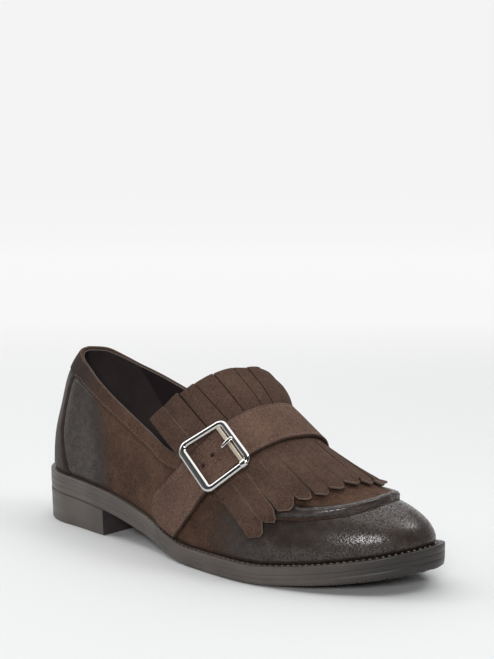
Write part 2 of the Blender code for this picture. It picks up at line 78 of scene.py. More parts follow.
class Slot(Enum):
    """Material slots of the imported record."""
    SOLE = "sole_rubber"
    LINING = "lining_leather"
    UPPER = "upper_suede"
    KILTIE = "kiltie_suede"
    STRAP = "strap_suede"
    CHROME = "buckle_chrome"


def smooth(low: float | Array, high: float | Array, value: Array) -> Array:
    """Soft step: 0 up to low, 1 from high on, and 3t²-2t³ between them."""
    t = np.clip((value - low) / (np.asarray(high) - low), 0, 1)
    return t * t * (3 - 2 * t)


def unit(vectors: Array) -> Array:
    """Vectors divided by their lengths."""
    return vectors / np.maximum(np.linalg.norm(vectors, axis=-1, keepdims=True), 1e-9)


def bell(distance: Array, width: float) -> Array:
    """Soft bump of height 1: e to the power of -(distance / width)²."""
    return np.exp(-(distance / width) ** 2)


@dataclass(frozen=True)
class SoftLine:
    """Soft line beside an edge: its place and width against the edge, and its strength."""
    place: float
    width: float
    strength: float

    def __call__(self, distance: Array) -> Array:
        """Strength at a distance from the edge, a bell across the line."""
        return self.strength * bell(distance - self.place, self.width)


@dataclass(frozen=True)
class Table:
    """Rows of sizes against a station, read by column name along a smooth curve that never overshoots."""
    columns: str
    rows: tuple[tuple[float, ...], ...]

    def __call__(self, name: str, at: float | Array) -> Array:
        """Read one column: a cubic between rows, with harmonic mean slopes.

        Args:
            name: Column to read.
            at: Stations, of any shape.
        Returns:
            Values of the column at the stations.
        """
        rows = np.array(self.rows, float)
        knots, values = rows[:, 0], rows[:, self.columns.split().index(name)]
        step = np.diff(knots)
        slope = np.diff(values) / step
        before, after = slope[:-1], slope[1:]
        weight_before, weight_after = 2 * step[1:] + step[:-1], step[1:] + 2 * step[:-1]
        turning = before * after <= 0
        safe_before, safe_after = np.where(turning, 1, before), np.where(turning, 1, after)
        mean = (weight_before + weight_after) / (weight_before / safe_before + weight_after / safe_after)
        tangent = np.concatenate([slope[:1], np.where(turning, 0, mean), slope[-1:]])
        at = np.asarray(at, float)
        i = np.clip(np.searchsorted(knots, at, side="right") - 1, 0, len(knots) - 2)
        t = np.clip((at - knots[i]) / step[i], 0, 1)
        start = (1 + 2 * t) * (1 - t) ** 2 * values[i] + t * (1 - t) ** 2 * step[i] * tangent[i]
        end = t * t * (3 - 2 * t) * values[i + 1] + t * t * (t - 1) * step[i] * tangent[i + 1]
        return start + end


def solve(rising: Callable[[Array], Array], target: Array, low: float, high: float) -> Array:
    """Halve an interval until a rising function meets its target, for a whole array at once.

    Args:
        rising: Function that grows with its argument.
        target: Values to reach.
        low: Lowest argument.
        high: Highest argument.
    Returns:
        Arguments at which the function meets the targets.
    """
    halvings = 32
    lower, upper = np.full(target.shape, low), np.full(target.shape, high)
    for _ in range(halvings):
        middle = (lower + upper) / 2
        short = rising(middle) < target
        lower, upper = np.where(short, middle, lower), np.where(short, upper, middle)
    return (lower + upper) / 2


@dataclass(frozen=True)
class LoaferShape:
    """Sizes and surfaces of the sole and the last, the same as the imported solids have."""
    length: float = 266.0
    heel_round: tuple[float, float] = (34.0, 2.1)
    toe_round: tuple[float, float] = (60.0, 2.0)
    toe_turn: tuple[float, float] = (6.6, 180.0)
    outline: Table = Table("x lateral medial", (
        (0, 27.7, 27.7), (30, 27.7, 27.5), (62, 31.1, 29.5), (100, 34.5, 28.5), (140, 44.0, 34.5),
        (180, 47.5, 42.0), (215, 41.5, 41.5), (245, 37.0, 36.0), (266, 36.0, 35.0)))
    profile: Table = Table("x underside edge", (
        (0, 18.5, 11.5), (33, 16.7, 11.5), (66, 14.4, 11.5), (100, 8.2, 10.8), (125, 2.6, 10.0),
        (146, 0, 9.7), (188, 0, 9.7), (215, 2.5, 10.1), (245, 6.9, 11.0), (266, 11.6, 11.7)))
    overhang: Table = Table("x width", (
        (0, 3.0), (60, 1.8), (105, 1.6), (150, 3.0), (230, 4.0), (266, 4.6)))
    sections: Table = Table("u ridge_x ridge_z foot_lean foot_pull ridge_pull", (
        (0.00, 52, 112, 0.5, 34, 40), (0.12, 55, 112, 1, 34, 38), (0.25, 68, 112, 1, 32, 34),
        (0.36, 92, 111, 1, 32, 32), (0.45, 120, 104, 3, 30, 30), (0.55, 152, 86, 6, 26, 30),
        (0.64, 184, 62.3, 10, 20, 30), (0.72, 208, 50.5, 12, 15, 26), (0.82, 224, 44.5, 11, 12, 20.5),
        (0.91, 229, 43, 8, 11, 18), (1.00, 231, 42.5, 5, 10.5, 17)))
    collar: Table = Table("u lateral medial", (
        (0.00, 99.0, 99.0), (0.10, 98.6, 98.0), (0.20, 93.8, 93.0), (0.28, 85.7, 86.6),
        (0.36, 74.4, 77.8), (0.42, 64.0, 70.0), (0.465, 56.6, 62.5), (0.50, 55.4, 61.0),
        (0.525, 68.0, 70.0), (0.545, 92.0, 92.0)))
    throat: float = 0.545
    flap_slope: float = math.radians(34)
    slope_span: Span = (0.2, 1.0)
    plan_stations: int = 401

    def centre_line(self, x: Array) -> Array:
        """Y of the middle line: straight at the heel, bent inwards along a parabola at the toe."""
        turn, start = self.toe_turn
        return turn * np.clip((x - start) / (self.length - start), 0, 1) ** 2

    def half_width(self, x: Array, side: Side) -> Array:
        """Half width of the sole: the table, closed by a rounded heel and an elliptical toe."""
        heel_length, heel_power = self.heel_round
        toe_length, toe_power = self.toe_round
        heel = np.clip((heel_length - x) / heel_length, 0, 1) ** heel_power
        toe = np.clip((x - self.length + toe_length) / toe_length, 0, 1) ** toe_power
        return self.outline(side.name.lower(), x) * np.sqrt((1 - heel) * (1 - toe))

    def sole_edge(self, u: Array, side: Side) -> Array:
        """Plan point of the sole's edge; stations crowd towards the round ends."""
        x = self.length * 0.5 * (1 - np.cos(np.pi * np.asarray(u, float)))
        return np.stack([x, self.centre_line(x) + side.value * self.half_width(x, side)], -1)

    def station(self, x: float | Array) -> Array:
        """U of the sole's edge at a distance X from the back, the inverse of the crowded stations."""
        return np.arccos(1 - 2 * np.asarray(x) / self.length) / np.pi

    def inset_edge(self, u: Array, side: Side, inset: float | Array) -> Array:
        """Sole edge moved inwards, square to itself, by the inset."""
        u = np.asarray(u, float)
        reach = 1e-4
        ahead, behind = np.clip(u + reach, 0, 1), np.clip(u - reach, 0, 1)
        along = unit(self.sole_edge(ahead, side) - self.sole_edge(behind, side))
        inwards = np.stack([side.value * along[..., 1], -side.value * along[..., 0]], -1)
        return self.sole_edge(u, side) + inwards * np.asarray(inset, float)[..., None]

    def underside(self, x: Array) -> Array:
        """Height of the sole's underside, with arch and toe spring."""
        return self.profile("underside", x)

    def sole_top(self, x: Array) -> Array:
        """Height of the surface that the upper stands on."""
        return self.profile("underside", x) + self.profile("edge", x)

    def feather(self, u: Array, side: Side) -> Array:
        """Foot of the upper: the sole's edge drawn in by the overhang."""
        plan = self.inset_edge(u, side, self.overhang("width", self.sole_edge(u, side)[..., 0]))
        return np.concatenate([plan, self.sole_top(plan[..., :1]) + CLEARANCE], -1)

    def last(self, u: Array, v: Array, side: Side) -> Array:
        """Point of the last: a cubic from the feather line, rising with a lean, to a level end on the ridge.

        Args:
            u: Stations from heel to toe.
            v: Shares of the section from feather line to ridge.
            side: Side of the foot.
        Returns:
            Points, with the last axis for X, Y and Z.
        """
        u, v = np.broadcast_arrays(np.asarray(u, float), np.asarray(v, float))
        foot = self.feather(u, side)
        ridge_x = self.sections("ridge_x", u)
        ridge = np.stack([ridge_x, self.centre_line(ridge_x), self.sections("ridge_z", u)], -1)
        outwards = unit((foot - ridge) * (1, 1, 0))
        lean = np.radians(self.sections("foot_lean", u))[..., None]
        rising = outwards * np.sin(lean) + np.array([0, 0, 1]) * np.cos(lean)
        low = foot + rising * self.sections("foot_pull", u)[..., None]
        high = ridge + outwards * self.sections("ridge_pull", u)[..., None]
        t = v[..., None]
        return (1 - t) ** 3 * foot + 3 * t * (1 - t) ** 2 * low + 3 * t * t * (1 - t) * high + t ** 3 * ridge

    def last_normal(self, u: Array, v: Array, side: Side) -> Array:
        """Outward normal of the last, from differences along U and V."""
        reach = 1e-3
        u, v = np.broadcast_arrays(np.asarray(u, float), np.asarray(v, float))
        ahead, behind = np.clip(u + reach, 0, 1), np.clip(u - reach, 0, 1)
        over, under = np.clip(v + reach, 0, 1), np.clip(v - reach, 0, 1)
        along_u = self.last(ahead, v, side) - self.last(behind, v, side)
        along_v = self.last(u, over, side) - self.last(u, under, side)
        return unit(np.cross(along_u, along_v) * -side.value)

    def collar_v(self, u: Array, side: Side) -> Array:
        """V of the topline: where the section reaches the collar's height, or the ridge past the throat."""
        height = self.collar(side.name.lower(), u)
        reached = solve(lambda v: self.last(u, v, side)[..., 2], height, 0.0, 1.0)
        return np.where(u < self.throat, reached, 1.0)

    def slope_station(self, v: Array, b: Array, side: Side) -> Array:
        """U at which the line of one V lies at a distance B along the flap's slope, B = x cos a - z sin a."""
        cosine, sine = math.cos(self.flap_slope), math.sin(self.flap_slope)

        def along(u: Array) -> Array:
            """Distance B of a place on the last."""
            point = self.last(u, v, side)
            return point[..., 0] * cosine - point[..., 2] * sine

        return solve(along, b, *self.slope_span)

    def on_slope(self, v: Array, b: Array, outer: Array) -> tuple[Array, Array, Array]:
        """Places of the last with a V and a distance B along the flap's slope.

        Args:
            v: Shares of the sections.
            b: Distances along the slope.
            outer: Whether a place is on the outer side of the foot.
        Returns:
            Points, normals and U.
        """
        both = []
        for side in Side:
            u = self.slope_station(v, b, side)
            both.append((self.last(u, v, side), self.last_normal(u, v, side), u[..., None]))
        point, normal, station = (np.where(outer[..., None], *pair) for pair in zip(*both))
        return point, normal, station[..., 0]

    @property
    def origin(self) -> Array:
        """Draft point that becomes the frame's origin: the middle of the sole's plan, on the floor."""
        stations = np.linspace(0, 1, self.plan_stations)
        reach = [(self.sole_edge(stations, side)[:, 1] * side.value).max() * side.value for side in Side]
        return np.array([self.length / 2, sum(reach) / 2, 0])


SHAPE = LoaferShape()


@dataclass
class Skin:
    """Points and faces of a piece before it becomes a mesh.

    Attributes:
        points: Points in draft coordinates.
        quads: Four point numbers a face; a triangle repeats its last one.
        finish: Number of the finish of each face.
        tags: Values at the points that materials read as attributes.
    """
    points: Array
    quads: Array
    finish: Array
    tags: dict[str, Array] = field(default_factory=dict)


def grid_quads(index: Array, flip: bool = False) -> Array:
    """Quads between the neighbours of a grid of point numbers, turned over where flip is set."""
    quads = np.stack([index[:-1, :-1], index[1:, :-1], index[1:, 1:], index[:-1, 1:]], -1).reshape(-1, 4)
    return quads[:, ::-1] if flip else quads


def around(index: Array) -> Array:
    """Grid of point numbers with its first column again after the last, for a closed ring."""
    return np.pad(index, ((0, 0), (0, 1)), mode="wrap")


def fan(ring: Array, flip: bool = False) -> Array:
    """Triangles from a ring's first point to its others, turned over where flip is set."""
    second, third = (ring[2:], ring[1:-1]) if flip else (ring[1:-1], ring[2:])
    return np.stack([np.full_like(second, ring[0]), second, third, third], 1)


def joined(skins: Iterable[Skin]) -> Skin:
    """One skin of several that have no tags and one finish, with their point numbers shifted."""
    skins = list(skins)
    starts = np.cumsum([0] + [len(skin.points) for skin in skins[:-1]])
    quads = np.concatenate([skin.quads + start for skin, start in zip(skins, starts)])
    return Skin(np.concatenate([skin.points for skin in skins]), quads, np.zeros(len(quads), int))


def shell(outer: Array, inner: Array, quads: Array, tags: dict[str, Array] | None = None,
          rim_steps: int = 3, bulge: float = 0.42) -> Skin:
    """Closed wall between two sheets, with a rounded rim along every open edge.

    A rim point is mid + cos(a) (outer - inner) / 2 + sin(a) bulge thickness away, where a runs from 0 to half
    a turn and away points out of the sheet, square to its edge.

    Args:
        outer: Points of the outer sheet.
        inner: Points of the inner sheet, in the same order.
        quads: Faces of the outer sheet.
        tags: Values at the outer points.
        rim_steps: Rows of points between the two edges of the rim.
        bulge: Height of the rim's rounding as a share of the thickness.
    Returns:
        Skin with finish 0 outside, 1 inside and 2 on the rim.
    """
    count = len(outer)
    edges = np.concatenate([quads[:, [k, (k + 1) % 4]] for k in range(4)])
    edges = edges[edges[:, 0] != edges[:, 1]]
    is_open = ~np.isin(edges[:, 0] * count + edges[:, 1], edges[:, 1] * count + edges[:, 0])
    rim = edges[is_open]
    middle, across = (outer + inner) / 2, outer - inner
    away = np.zeros_like(outer)
    square = unit(np.cross(middle[rim[:, 1]] - middle[rim[:, 0]], across[rim[:, 0]] + across[rim[:, 1]]))
    np.add.at(away, rim[:, 0], square)
    np.add.at(away, rim[:, 1], square)
    on_rim = np.unique(rim)
    away = unit(away[on_rim])
    thickness = np.linalg.norm(across[on_rim], axis=1, keepdims=True)
    angles = np.pi * np.arange(1, rim_steps + 1) / (rim_steps + 1)
    rows = [middle[on_rim] + math.cos(a) * across[on_rim] / 2 + math.sin(a) * bulge * thickness * away
            for a in angles]
    place = np.full(count, -1)
    place[on_rim] = np.arange(len(on_rim))
    levels = [rim] + [2 * count + k * len(on_rim) + place[rim] for k in range(rim_steps)] + [rim + count]
    walls = np.concatenate([np.stack([up[:, 1], up[:, 0], down[:, 0], down[:, 1]], 1)
                            for up, down in zip(levels, levels[1:])])
    made = {name: np.concatenate([tag, tag] + [tag[on_rim]] * rim_steps)
            for name, tag in (tags or {}).items()}
    finish = np.repeat([0, 1, 2], [len(quads), len(quads), len(walls)])
    return Skin(np.concatenate([outer, inner, *rows]),
                np.concatenate([quads, quads[:, ::-1] + count, walls]), finish, made)


def make_piece(name: str, skin: Skin, finishes: Sequence[Material], slot: Slot,
               replaces: Sequence[str] = ()) -> bpy.types.Object:
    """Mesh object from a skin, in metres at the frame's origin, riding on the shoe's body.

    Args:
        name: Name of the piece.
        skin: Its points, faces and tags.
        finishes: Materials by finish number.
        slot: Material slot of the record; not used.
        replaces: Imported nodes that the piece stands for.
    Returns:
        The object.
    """
    is_triangle = skin.quads[:, 2] == skin.quads[:, 3]
    corners = skin.quads.ravel()[np.column_stack([np.ones((len(skin.quads), 3), bool), ~is_triangle]).ravel()]
    starts = np.concatenate([[0], np.cumsum(np.where(is_triangle, 3, 4))[:-1]])
    mesh = bpy.data.meshes.new(name)
    mesh.vertices.add(len(skin.points))
    mesh.loops.add(len(corners))
    mesh.polygons.add(len(starts))
    mesh.vertices.foreach_set("co", ((skin.points - SHAPE.origin) * MILLIMETRE).astype(np.float32).ravel())
    mesh.loops.foreach_set("vertex_index", corners.astype(np.int32))
    mesh.polygons.foreach_set("loop_start", starts.astype(np.int32))
    mesh.polygons.foreach_set("material_index", np.minimum(skin.finish, len(finishes) - 1).astype(np.int32))
    mesh.polygons.foreach_set("use_smooth", np.ones(len(starts), bool))
    for material in finishes:
        mesh.materials.append(material)
    for tag, values in skin.tags.items():
        mesh.attributes.new(tag, "FLOAT", "POINT").data.foreach_set("value", values.astype(np.float32))
    mesh.update(calc_edges=True)
    mesh.validate()
    made = bpy.data.objects.new(name, mesh)
    bpy.context.scene.collection.objects.link(made)
    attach(made, BODY)
    if replaces:
        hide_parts(*replaces)
    LOG.info("%s: %d points, %d faces", name, len(mesh.vertices), len(mesh.polygons))
    return made


@dataclass(frozen=True)
class StitchLook:
    """Sizes of one seam's stitches: spacing, thread and how deep they sit."""
    pitch: float = 3.2
    length: float = 2.3
    radius: float = 0.26
    sink: float = 0.06
    sides: int = 6
    rings: int = 5
    thin_end: float = 0.02

    def run(self, path: Array, normals: Array) -> Skin:
        """Stitches along a path: flattened spindles, one each pitch, sunk a little into the surface.

        A stitch point is place + t length / 2 along + r(t) (cos a across + sin a out) - sink out, with
        r(t) = radius (1 - t^4)^(1/2).

        Args:
            path: Points of the seam.
            normals: Outward normals there.
        Returns:
            Skin of all the stitches.
        """
        steps = np.linalg.norm(np.diff(path, axis=0), axis=1)
        travelled = np.concatenate([[0], np.cumsum(steps)])
        places = np.arange(self.pitch / 2, travelled[-1] - self.pitch / 2, self.pitch)

        def at(where: Array, values: Array) -> Array:
            """Read values along the path."""
            return np.stack([np.interp(where, travelled, values[:, k]) for k in range(3)], -1)

        middle, out = at(places, path), unit(at(places, normals))
        along = unit(at(places + self.length / 2, path) - at(places - self.length / 2, path))
        across = unit(np.cross(out, along))
        t = np.linspace(-1, 1, self.rings)
        radius = self.radius * np.sqrt(np.maximum(1 - t ** 4, self.thin_end))
        angles = 2 * np.pi * np.arange(self.sides) / self.sides
        local = np.stack(np.broadcast_arrays(
            t[:, None] * self.length / 2, radius[:, None] * np.cos(angles),
            radius[:, None] * np.sin(angles) - self.sink), -1).reshape(-1, 3)
        axes = np.stack([along, across, out], 1)
        points = (middle[:, None, :] + local @ axes).reshape(-1, 3)
        ring = np.arange(self.rings * self.sides).reshape(self.rings, self.sides)
        walls = grid_quads(around(ring), flip=True)
        template = np.concatenate([walls, fan(ring[0], flip=True), fan(ring[-1])])
        shifts = np.arange(len(places)) * len(local)
        quads = (template[None] + shifts[:, None, None]).reshape(-1, 4)
        return Skin(points, quads, np.zeros(len(quads), int))


def opaque(value: object) -> object:
    """A colour with full alpha; any other value as it is."""
    return (*value, 1.0) if isinstance(value, tuple) else value


class NodeSketch:
    """Adds shader nodes to a material and links them."""

    def __init__(self, name: str) -> None:
        """Start a material with its Principled shader."""
        self.material = bpy.data.materials.new(name)
        self.material.use_nodes = True
        self.tree = self.material.node_tree
        self.shader = self.tree.nodes["Principled BSDF"]
        self.coordinates = self.add("ShaderNodeTexCoord").outputs["Object"]

    def add(self, kind: str, inputs: dict | None = None, **settings: object) -> bpy.types.Node:
        """Add a node.

        Args:
            kind: Node type.
            inputs: Values or output sockets by input name or number.
            settings: Properties of the node.
        Returns:
            The node.
        """
        node = self.tree.nodes.new(kind)
        for key, value in settings.items():
            setattr(node, key, value)
        self.feed(node, inputs or {})
        return node

    def feed(self, node: bpy.types.Node, inputs: dict) -> None:
        """Set or link a node's inputs."""
        for key, value in inputs.items():
            if isinstance(value, Socket):
                self.tree.links.new(value, node.inputs[key])
            else:
                node.inputs[key].default_value = value

    def noise(self, scale: float, detail: float = 2.0, roughness: float = 0.5,
              stretch: tuple[float, float, float] | None = None) -> Socket:
        """Noise on Object coordinates; scale counts features in a metre."""
        vector = self.coordinates
        if stretch:
            vector = self.add("ShaderNodeMapping", {"Vector": vector, "Scale": stretch}).outputs[0]
        node = self.add("ShaderNodeTexNoise", {"Vector": vector, "Scale": scale, "Detail": detail,
                                               "Roughness": roughness})
        return node.outputs["Fac"]

    def tag(self, name: str) -> Socket:
        """Value of a mesh attribute."""
        return self.add("ShaderNodeAttribute", attribute_name=name).outputs["Fac"]

    def sum(self, operation: str, first: object, second: object) -> Socket:
        """Math node of two values."""
        return self.add("ShaderNodeMath", {0: first, 1: second}, operation=operation).outputs[0]

    def weighted(self, *pairs: tuple[Socket, float]) -> Socket:
        """Sum of values, each times its weight."""
        total = self.sum("MULTIPLY", *pairs[0])
        for pair in pairs[1:]:
            total = self.sum("ADD", total, self.sum("MULTIPLY", *pair))
        return total

    def span(self, value: object, low: float, high: float, to_low: float = 0.0,
             to_high: float = 1.0) -> Socket:
        """Map a range softly onto another."""
        inputs = {0: value, 1: low, 2: high, 3: to_low, 4: to_high}
        return self.add("ShaderNodeMapRange", inputs, interpolation_type="SMOOTHSTEP").outputs[0]

    def mix(self, share: object, first: object, second: object) -> Socket:
        """Mix of two colours."""
        node = self.add("ShaderNodeMix", data_type="RGBA")
        pairs = ((0, share), (6, first), (7, second))
        self.feed(node, {key: opaque(value) for key, value in pairs})
        return node.outputs[2]

    def blend(self, share: object, first: object, second: object) -> Socket:
        """Mix of two numbers."""
        node = self.add("ShaderNodeMix", data_type="FLOAT")
        self.feed(node, {0: share, 2: first, 3: second})
        return node.outputs[0]

    def bump(self, height: object, depth: float, strength: object = 1.0,
             under: Socket | None = None) -> Socket:
        """Bump of a height, with its depth in metres, over another bump."""
        node = self.add("ShaderNodeBump", {"Height": height, "Distance": depth, "Strength": strength})
        if under:
            self.feed(node, {"Normal": under})
        return node.outputs[0]

    def finish(self, **inputs: object) -> Material:
        """Set the shader's sockets; a name's underscores stand for spaces."""
        self.feed(self.shader, {key.replace("_", " "): opaque(value) for key, value in inputs.items()})
        return self.material


@dataclass(frozen=True)
class Suede:
    """Brushed suede: a mottled tone, a short nap as fine bump, and a little sheen."""
    name: str
    dark: Colour
    light: Colour
    nap: float = 0.0003
    roughness: float = 0.95
    sheen: float = 0.06
    sheen_roughness: float = 0.5
    shine: float = 0.08
    clouds: Noise = (60, 3.0, 0.55)
    marks: Noise = (420, 3.0, 0.6)
    fibres: Noise = (1500, 3.0, 0.85)
    weights: tuple[float, float, float] = (0.21, 0.15, 0.64)
    contrast: Span = (0.385, 0.615)
    coarse_nap: Noise = (700, 3.0, 0.6)
    fine_nap: Noise = (2200, 2.0, 0.7)
    coarse_depth: float = 1.6
    relief_strength: float = 0.8

    def tone(self, sketch: NodeSketch) -> Socket:
        """Colour of the brushed nap: wide clouds, finger marks and fine fibres."""
        layers = [sketch.noise(*layer) for layer in (self.clouds, self.marks, self.fibres)]
        share = sketch.weighted(*zip(layers, self.weights))
        return sketch.mix(sketch.span(share, *self.contrast), self.dark, self.light)

    def relief(self, sketch: NodeSketch, strength: object) -> Socket:
        """Bump of the nap, as strong as a number or a socket says."""
        coarse = sketch.bump(sketch.noise(*self.coarse_nap), self.nap * self.coarse_depth, strength)
        return sketch.bump(sketch.noise(*self.fine_nap), self.nap, strength, coarse)

    def build(self) -> Material:
        """Material of the suede."""
        sketch = NodeSketch(self.name)
        return sketch.finish(
            Base_Color=self.tone(sketch), Normal=self.relief(sketch, self.relief_strength),
            Roughness=self.roughness, Sheen_Weight=self.sheen, Sheen_Roughness=self.sheen_roughness,
            Sheen_Tint=self.light, Specular_IOR_Level=self.shine)


@dataclass(frozen=True)
class CutEdgeWithSlitShade(Suede):
    """Raw cut edge of suede: pale, and painted with shade inside tight slits where the mesh says so."""
    # Painted shade colour inside the slits.
    deep: Colour = (0.014, 0.009, 0.007)

    def tone(self, sketch: NodeSketch) -> Socket:
        """Colour of the cut edge, with painted slit shade where the slit tag says so."""
        return sketch.mix(sketch.tag("slit"), super().tone(sketch), self.deep)


@dataclass(frozen=True)
class BurnishedSuede(Suede):
    """Suede that is waxed and burnished to a dark gloss where the mesh says so, and dark where the seam tag
    says so: painted shade in grooves, creases and holes, and a darker tab and counter edge.

    The wax is the burnish tag broken up by noise. The polish tag says how far its grain and gloss show.
    """
    wax_dark: Colour = (0.021, 0.0138, 0.0110)
    wax_light: Colour = (0.038, 0.0258, 0.0205)
    # Painted shade colour for grooves, creases and punched holes; the seam tag also darkens a heel tab and a
    # counter edge with it.
    seam: Colour = (0.020, 0.012, 0.010)
    seam_shade_share: float = 0.85
    gloss: float = 0.23
    shine: float = 0.3
    wax_break: Noise = (240, 5.0, 0.75)
    wax_break_strength: float = 2.0
    wax_span: Span = (0.2, 1.0)
    wax_clouds: Noise = (240, 3.0, 0.5)
    wax_contrast: Span = (0.35, 0.7)
    grain: Noise = (1250, 2.0, 0.6)
    even_grain: float = 0.5
    grain_depth: float = 0.00009
    grain_strength: float = 0.8
    pores: tuple[float, float, float, float] = (0.40, 0.54, 0.40, 0.0)
    wax_roughness: float = 0.4
    satin_span: Span = (0.0, 0.35)
    waxed_relief: float = 0.06
    coat: tuple[float, float, float, float] = (0.44, 0.53, 0.05, 1.0)

    def build(self) -> Material:
        """Material with suede, burnished wax, and painted seam shade."""
        sketch = NodeSketch(self.name)
        seam, polish = sketch.tag("seam"), sketch.tag("polish")
        uneven = sketch.sum("SUBTRACT", sketch.noise(*self.wax_break), 0.5)
        uneven = sketch.sum("MULTIPLY", uneven, self.wax_break_strength)
        wax = sketch.span(sketch.sum("ADD", sketch.tag("burnish"), uneven), *self.wax_span)
        grain = sketch.blend(polish, self.even_grain, sketch.noise(*self.grain))
        clouds = sketch.span(sketch.noise(*self.wax_clouds), *self.wax_contrast)
        colour = sketch.mix(wax, self.tone(sketch), sketch.mix(clouds, self.wax_dark, self.wax_light))
        # Painted shade: the seam tag mixes in the seam colour.
        colour = sketch.mix(sketch.sum("MULTIPLY", seam, self.seam_shade_share), colour, self.seam)
        waxed = sketch.sum("ADD", sketch.span(grain, *self.pores), self.wax_roughness)
        satin = sketch.sum("MULTIPLY", wax, sketch.span(polish, *self.satin_span))
        roughness = sketch.blend(satin, self.roughness, sketch.sum("ADD", waxed, seam))
        nap = self.relief(sketch, sketch.blend(wax, self.relief_strength, self.waxed_relief))
        normal = sketch.bump(grain, self.grain_depth, sketch.blend(wax, 0.0, self.grain_strength), nap)
        coat = sketch.sum("MULTIPLY", wax, sketch.span(grain, *self.coat))
        return sketch.finish(
            Base_Color=colour, Roughness=roughness, Normal=normal, Sheen_Weight=self.sheen,
            Sheen_Roughness=self.sheen_roughness, Sheen_Tint=self.light, Specular_IOR_Level=self.shine,
            Coat_Weight=sketch.sum("MULTIPLY", coat, polish), Coat_Roughness=self.gloss, Coat_Normal=normal)


@dataclass(frozen=True)
class SmoothLeather:
    """Smooth leather or board: one tone with fine grain."""
    name: str
    dark: Colour
    light: Colour
    roughness: float = 0.5
    depth: float = 0.00006
    panel: Colour | None = None
    shine: float = 0.35
    clouds: Noise = (120, 3.0, 0.5)
    grain: Noise = (1500, 3.0, 0.6)
    grain_strength: float = 0.7

    def build(self) -> Material:
        """Material of the leather; a second panel takes its own tone where the mesh says so."""
        sketch = NodeSketch(self.name)
        colour = sketch.mix(sketch.noise(*self.clouds), self.dark, self.light)
        if self.panel:
            colour = sketch.mix(sketch.tag("panel"), colour, self.panel)
        normal = sketch.bump(sketch.noise(*self.grain), self.depth, self.grain_strength)
        return sketch.finish(Base_Color=colour, Normal=normal, Roughness=self.roughness,
                             Specular_IOR_Level=self.shine)


@dataclass(frozen=True)
class SoleRubber:
    """Satin rubber with faint streaks along the edge, and painted shade round the toe."""
    name: str = "sole_edge"
    dark: Colour = (0.069, 0.056, 0.049)
    light: Colour = (0.110, 0.093, 0.081)
    roughness: float = 0.42
    # Painted shade round the toe: share of the toe tag, and how dark it makes the rubber.
    toe_shade_share: float = 0.78
    toe_shade_factor: float = 0.1
    shine: float = 0.45
    clouds: Noise = (45, 3.0, 0.5)
    streaks: Noise = (60, 3.0, 0.5)
    streak_stretch: tuple[float, float, float] = (0.2, 0.2, 6.0)
    weights: Span = (0.75, 0.25)
    contrast: Span = (0.25, 0.75)
    streak_span: Span = (0.3, 0.75)
    rough_spread: Span = (-0.06, 0.12)
    grain: Noise = (900, 2.0, 0.5)
    grain_depth: float = 0.00005
    grain_strength: float = 0.6

    def build(self) -> Material:
        """Material of the sole, with painted shade darkening its edge where it turns round the toe."""
        sketch = NodeSketch(self.name)
        streaks = sketch.noise(*self.streaks, self.streak_stretch)
        share = sketch.weighted(*zip((sketch.noise(*self.clouds), streaks), self.weights))
        colour = sketch.mix(sketch.span(share, *self.contrast), self.dark, self.light)
        # Painted shade: the toe tag darkens the edge round the toe.
        turned = sketch.sum("MULTIPLY", sketch.tag("toe"), self.toe_shade_share)
        colour = sketch.mix(turned, colour, tuple(self.toe_shade_factor * c for c in self.dark))
        low, high = self.rough_spread
        rough = sketch.span(streaks, *self.streak_span, self.roughness + low, self.roughness + high)
        normal = sketch.bump(sketch.noise(*self.grain), self.grain_depth, self.grain_strength)
        return sketch.finish(Base_Color=colour, Roughness=rough, Normal=normal, Specular_IOR_Level=self.shine)


@dataclass(frozen=True)
class Metal:
    """Polished plating with the faintest unevenness."""
    name: str
    colour: Colour
    roughness: float
    haze: Noise = (900, 2.0, 0.5)
    haze_span: Span = (0.3, 0.8)
    haze_spread: float = 0.06
    waves: Noise = (180, 2.0, 0.5)
    wave_depth: float = 0.00004
    wave_strength: float = 0.5

    def build(self) -> Material:
        """Material of the plating."""
        sketch = NodeSketch(self.name)
        rough = sketch.span(sketch.noise(*self.haze), *self.haze_span, self.roughness,
                            self.roughness + self.haze_spread)
        normal = sketch.bump(sketch.noise(*self.waves), self.wave_depth, self.wave_strength)
        return sketch.finish(Base_Color=self.colour, Roughness=rough, Normal=normal, Metallic=1.0)


@dataclass(frozen=True)
class Thread:
    """Twisted sewing thread."""
    name: str
    dark: Colour
    light: Colour
    roughness: float = 0.7
    strands: Noise = (3000, 2.0, 0.5)
    twist: Noise = (4000, 1.0, 0.5)
    twist_depth: float = 0.00008
    twist_strength: float = 0.8

    def build(self) -> Material:
        """Material of the thread."""
        sketch = NodeSketch(self.name)
        colour = sketch.mix(sketch.noise(*self.strands), self.dark, self.light)
        normal = sketch.bump(sketch.noise(*self.twist), self.twist_depth, self.twist_strength)
        return sketch.finish(Base_Color=colour, Normal=normal, Roughness=self.roughness)


CREASE_SCALE = (300.0, 90.0)


@dataclass(frozen=True)
class SoftCrease:
    """Trough or ridge of the upper, at a listed place.

    Attributes:
        start: U and V of one end.
        end: U and V of the other end.
        width: Half width in millimetres.
        height: Height in millimetres, below 0 for a trough.
        side: Side of the foot.
    """
    start: tuple[float, float]
    end: tuple[float, float]
    width: float
    height: float
    side: Side

    def lift(self, u: Array, v: Array) -> Array:
        """Height over the last: a bell across the line between the ends, fading past them.

        CREASE_SCALE says how many millimetres a whole U and a whole V are taken for.
        """
        scale = np.array(CREASE_SCALE)
        place = np.stack([u, v], -1) * scale
        start, end = np.array(self.start) * scale, np.array(self.end) * scale
        line = end - start
        share = np.clip(((place - start) @ line) / line.dot(line), 0, 1)
        distance = np.linalg.norm(place - start - share[..., None] * line, axis=-1)
        return self.height * bell(distance, self.width)


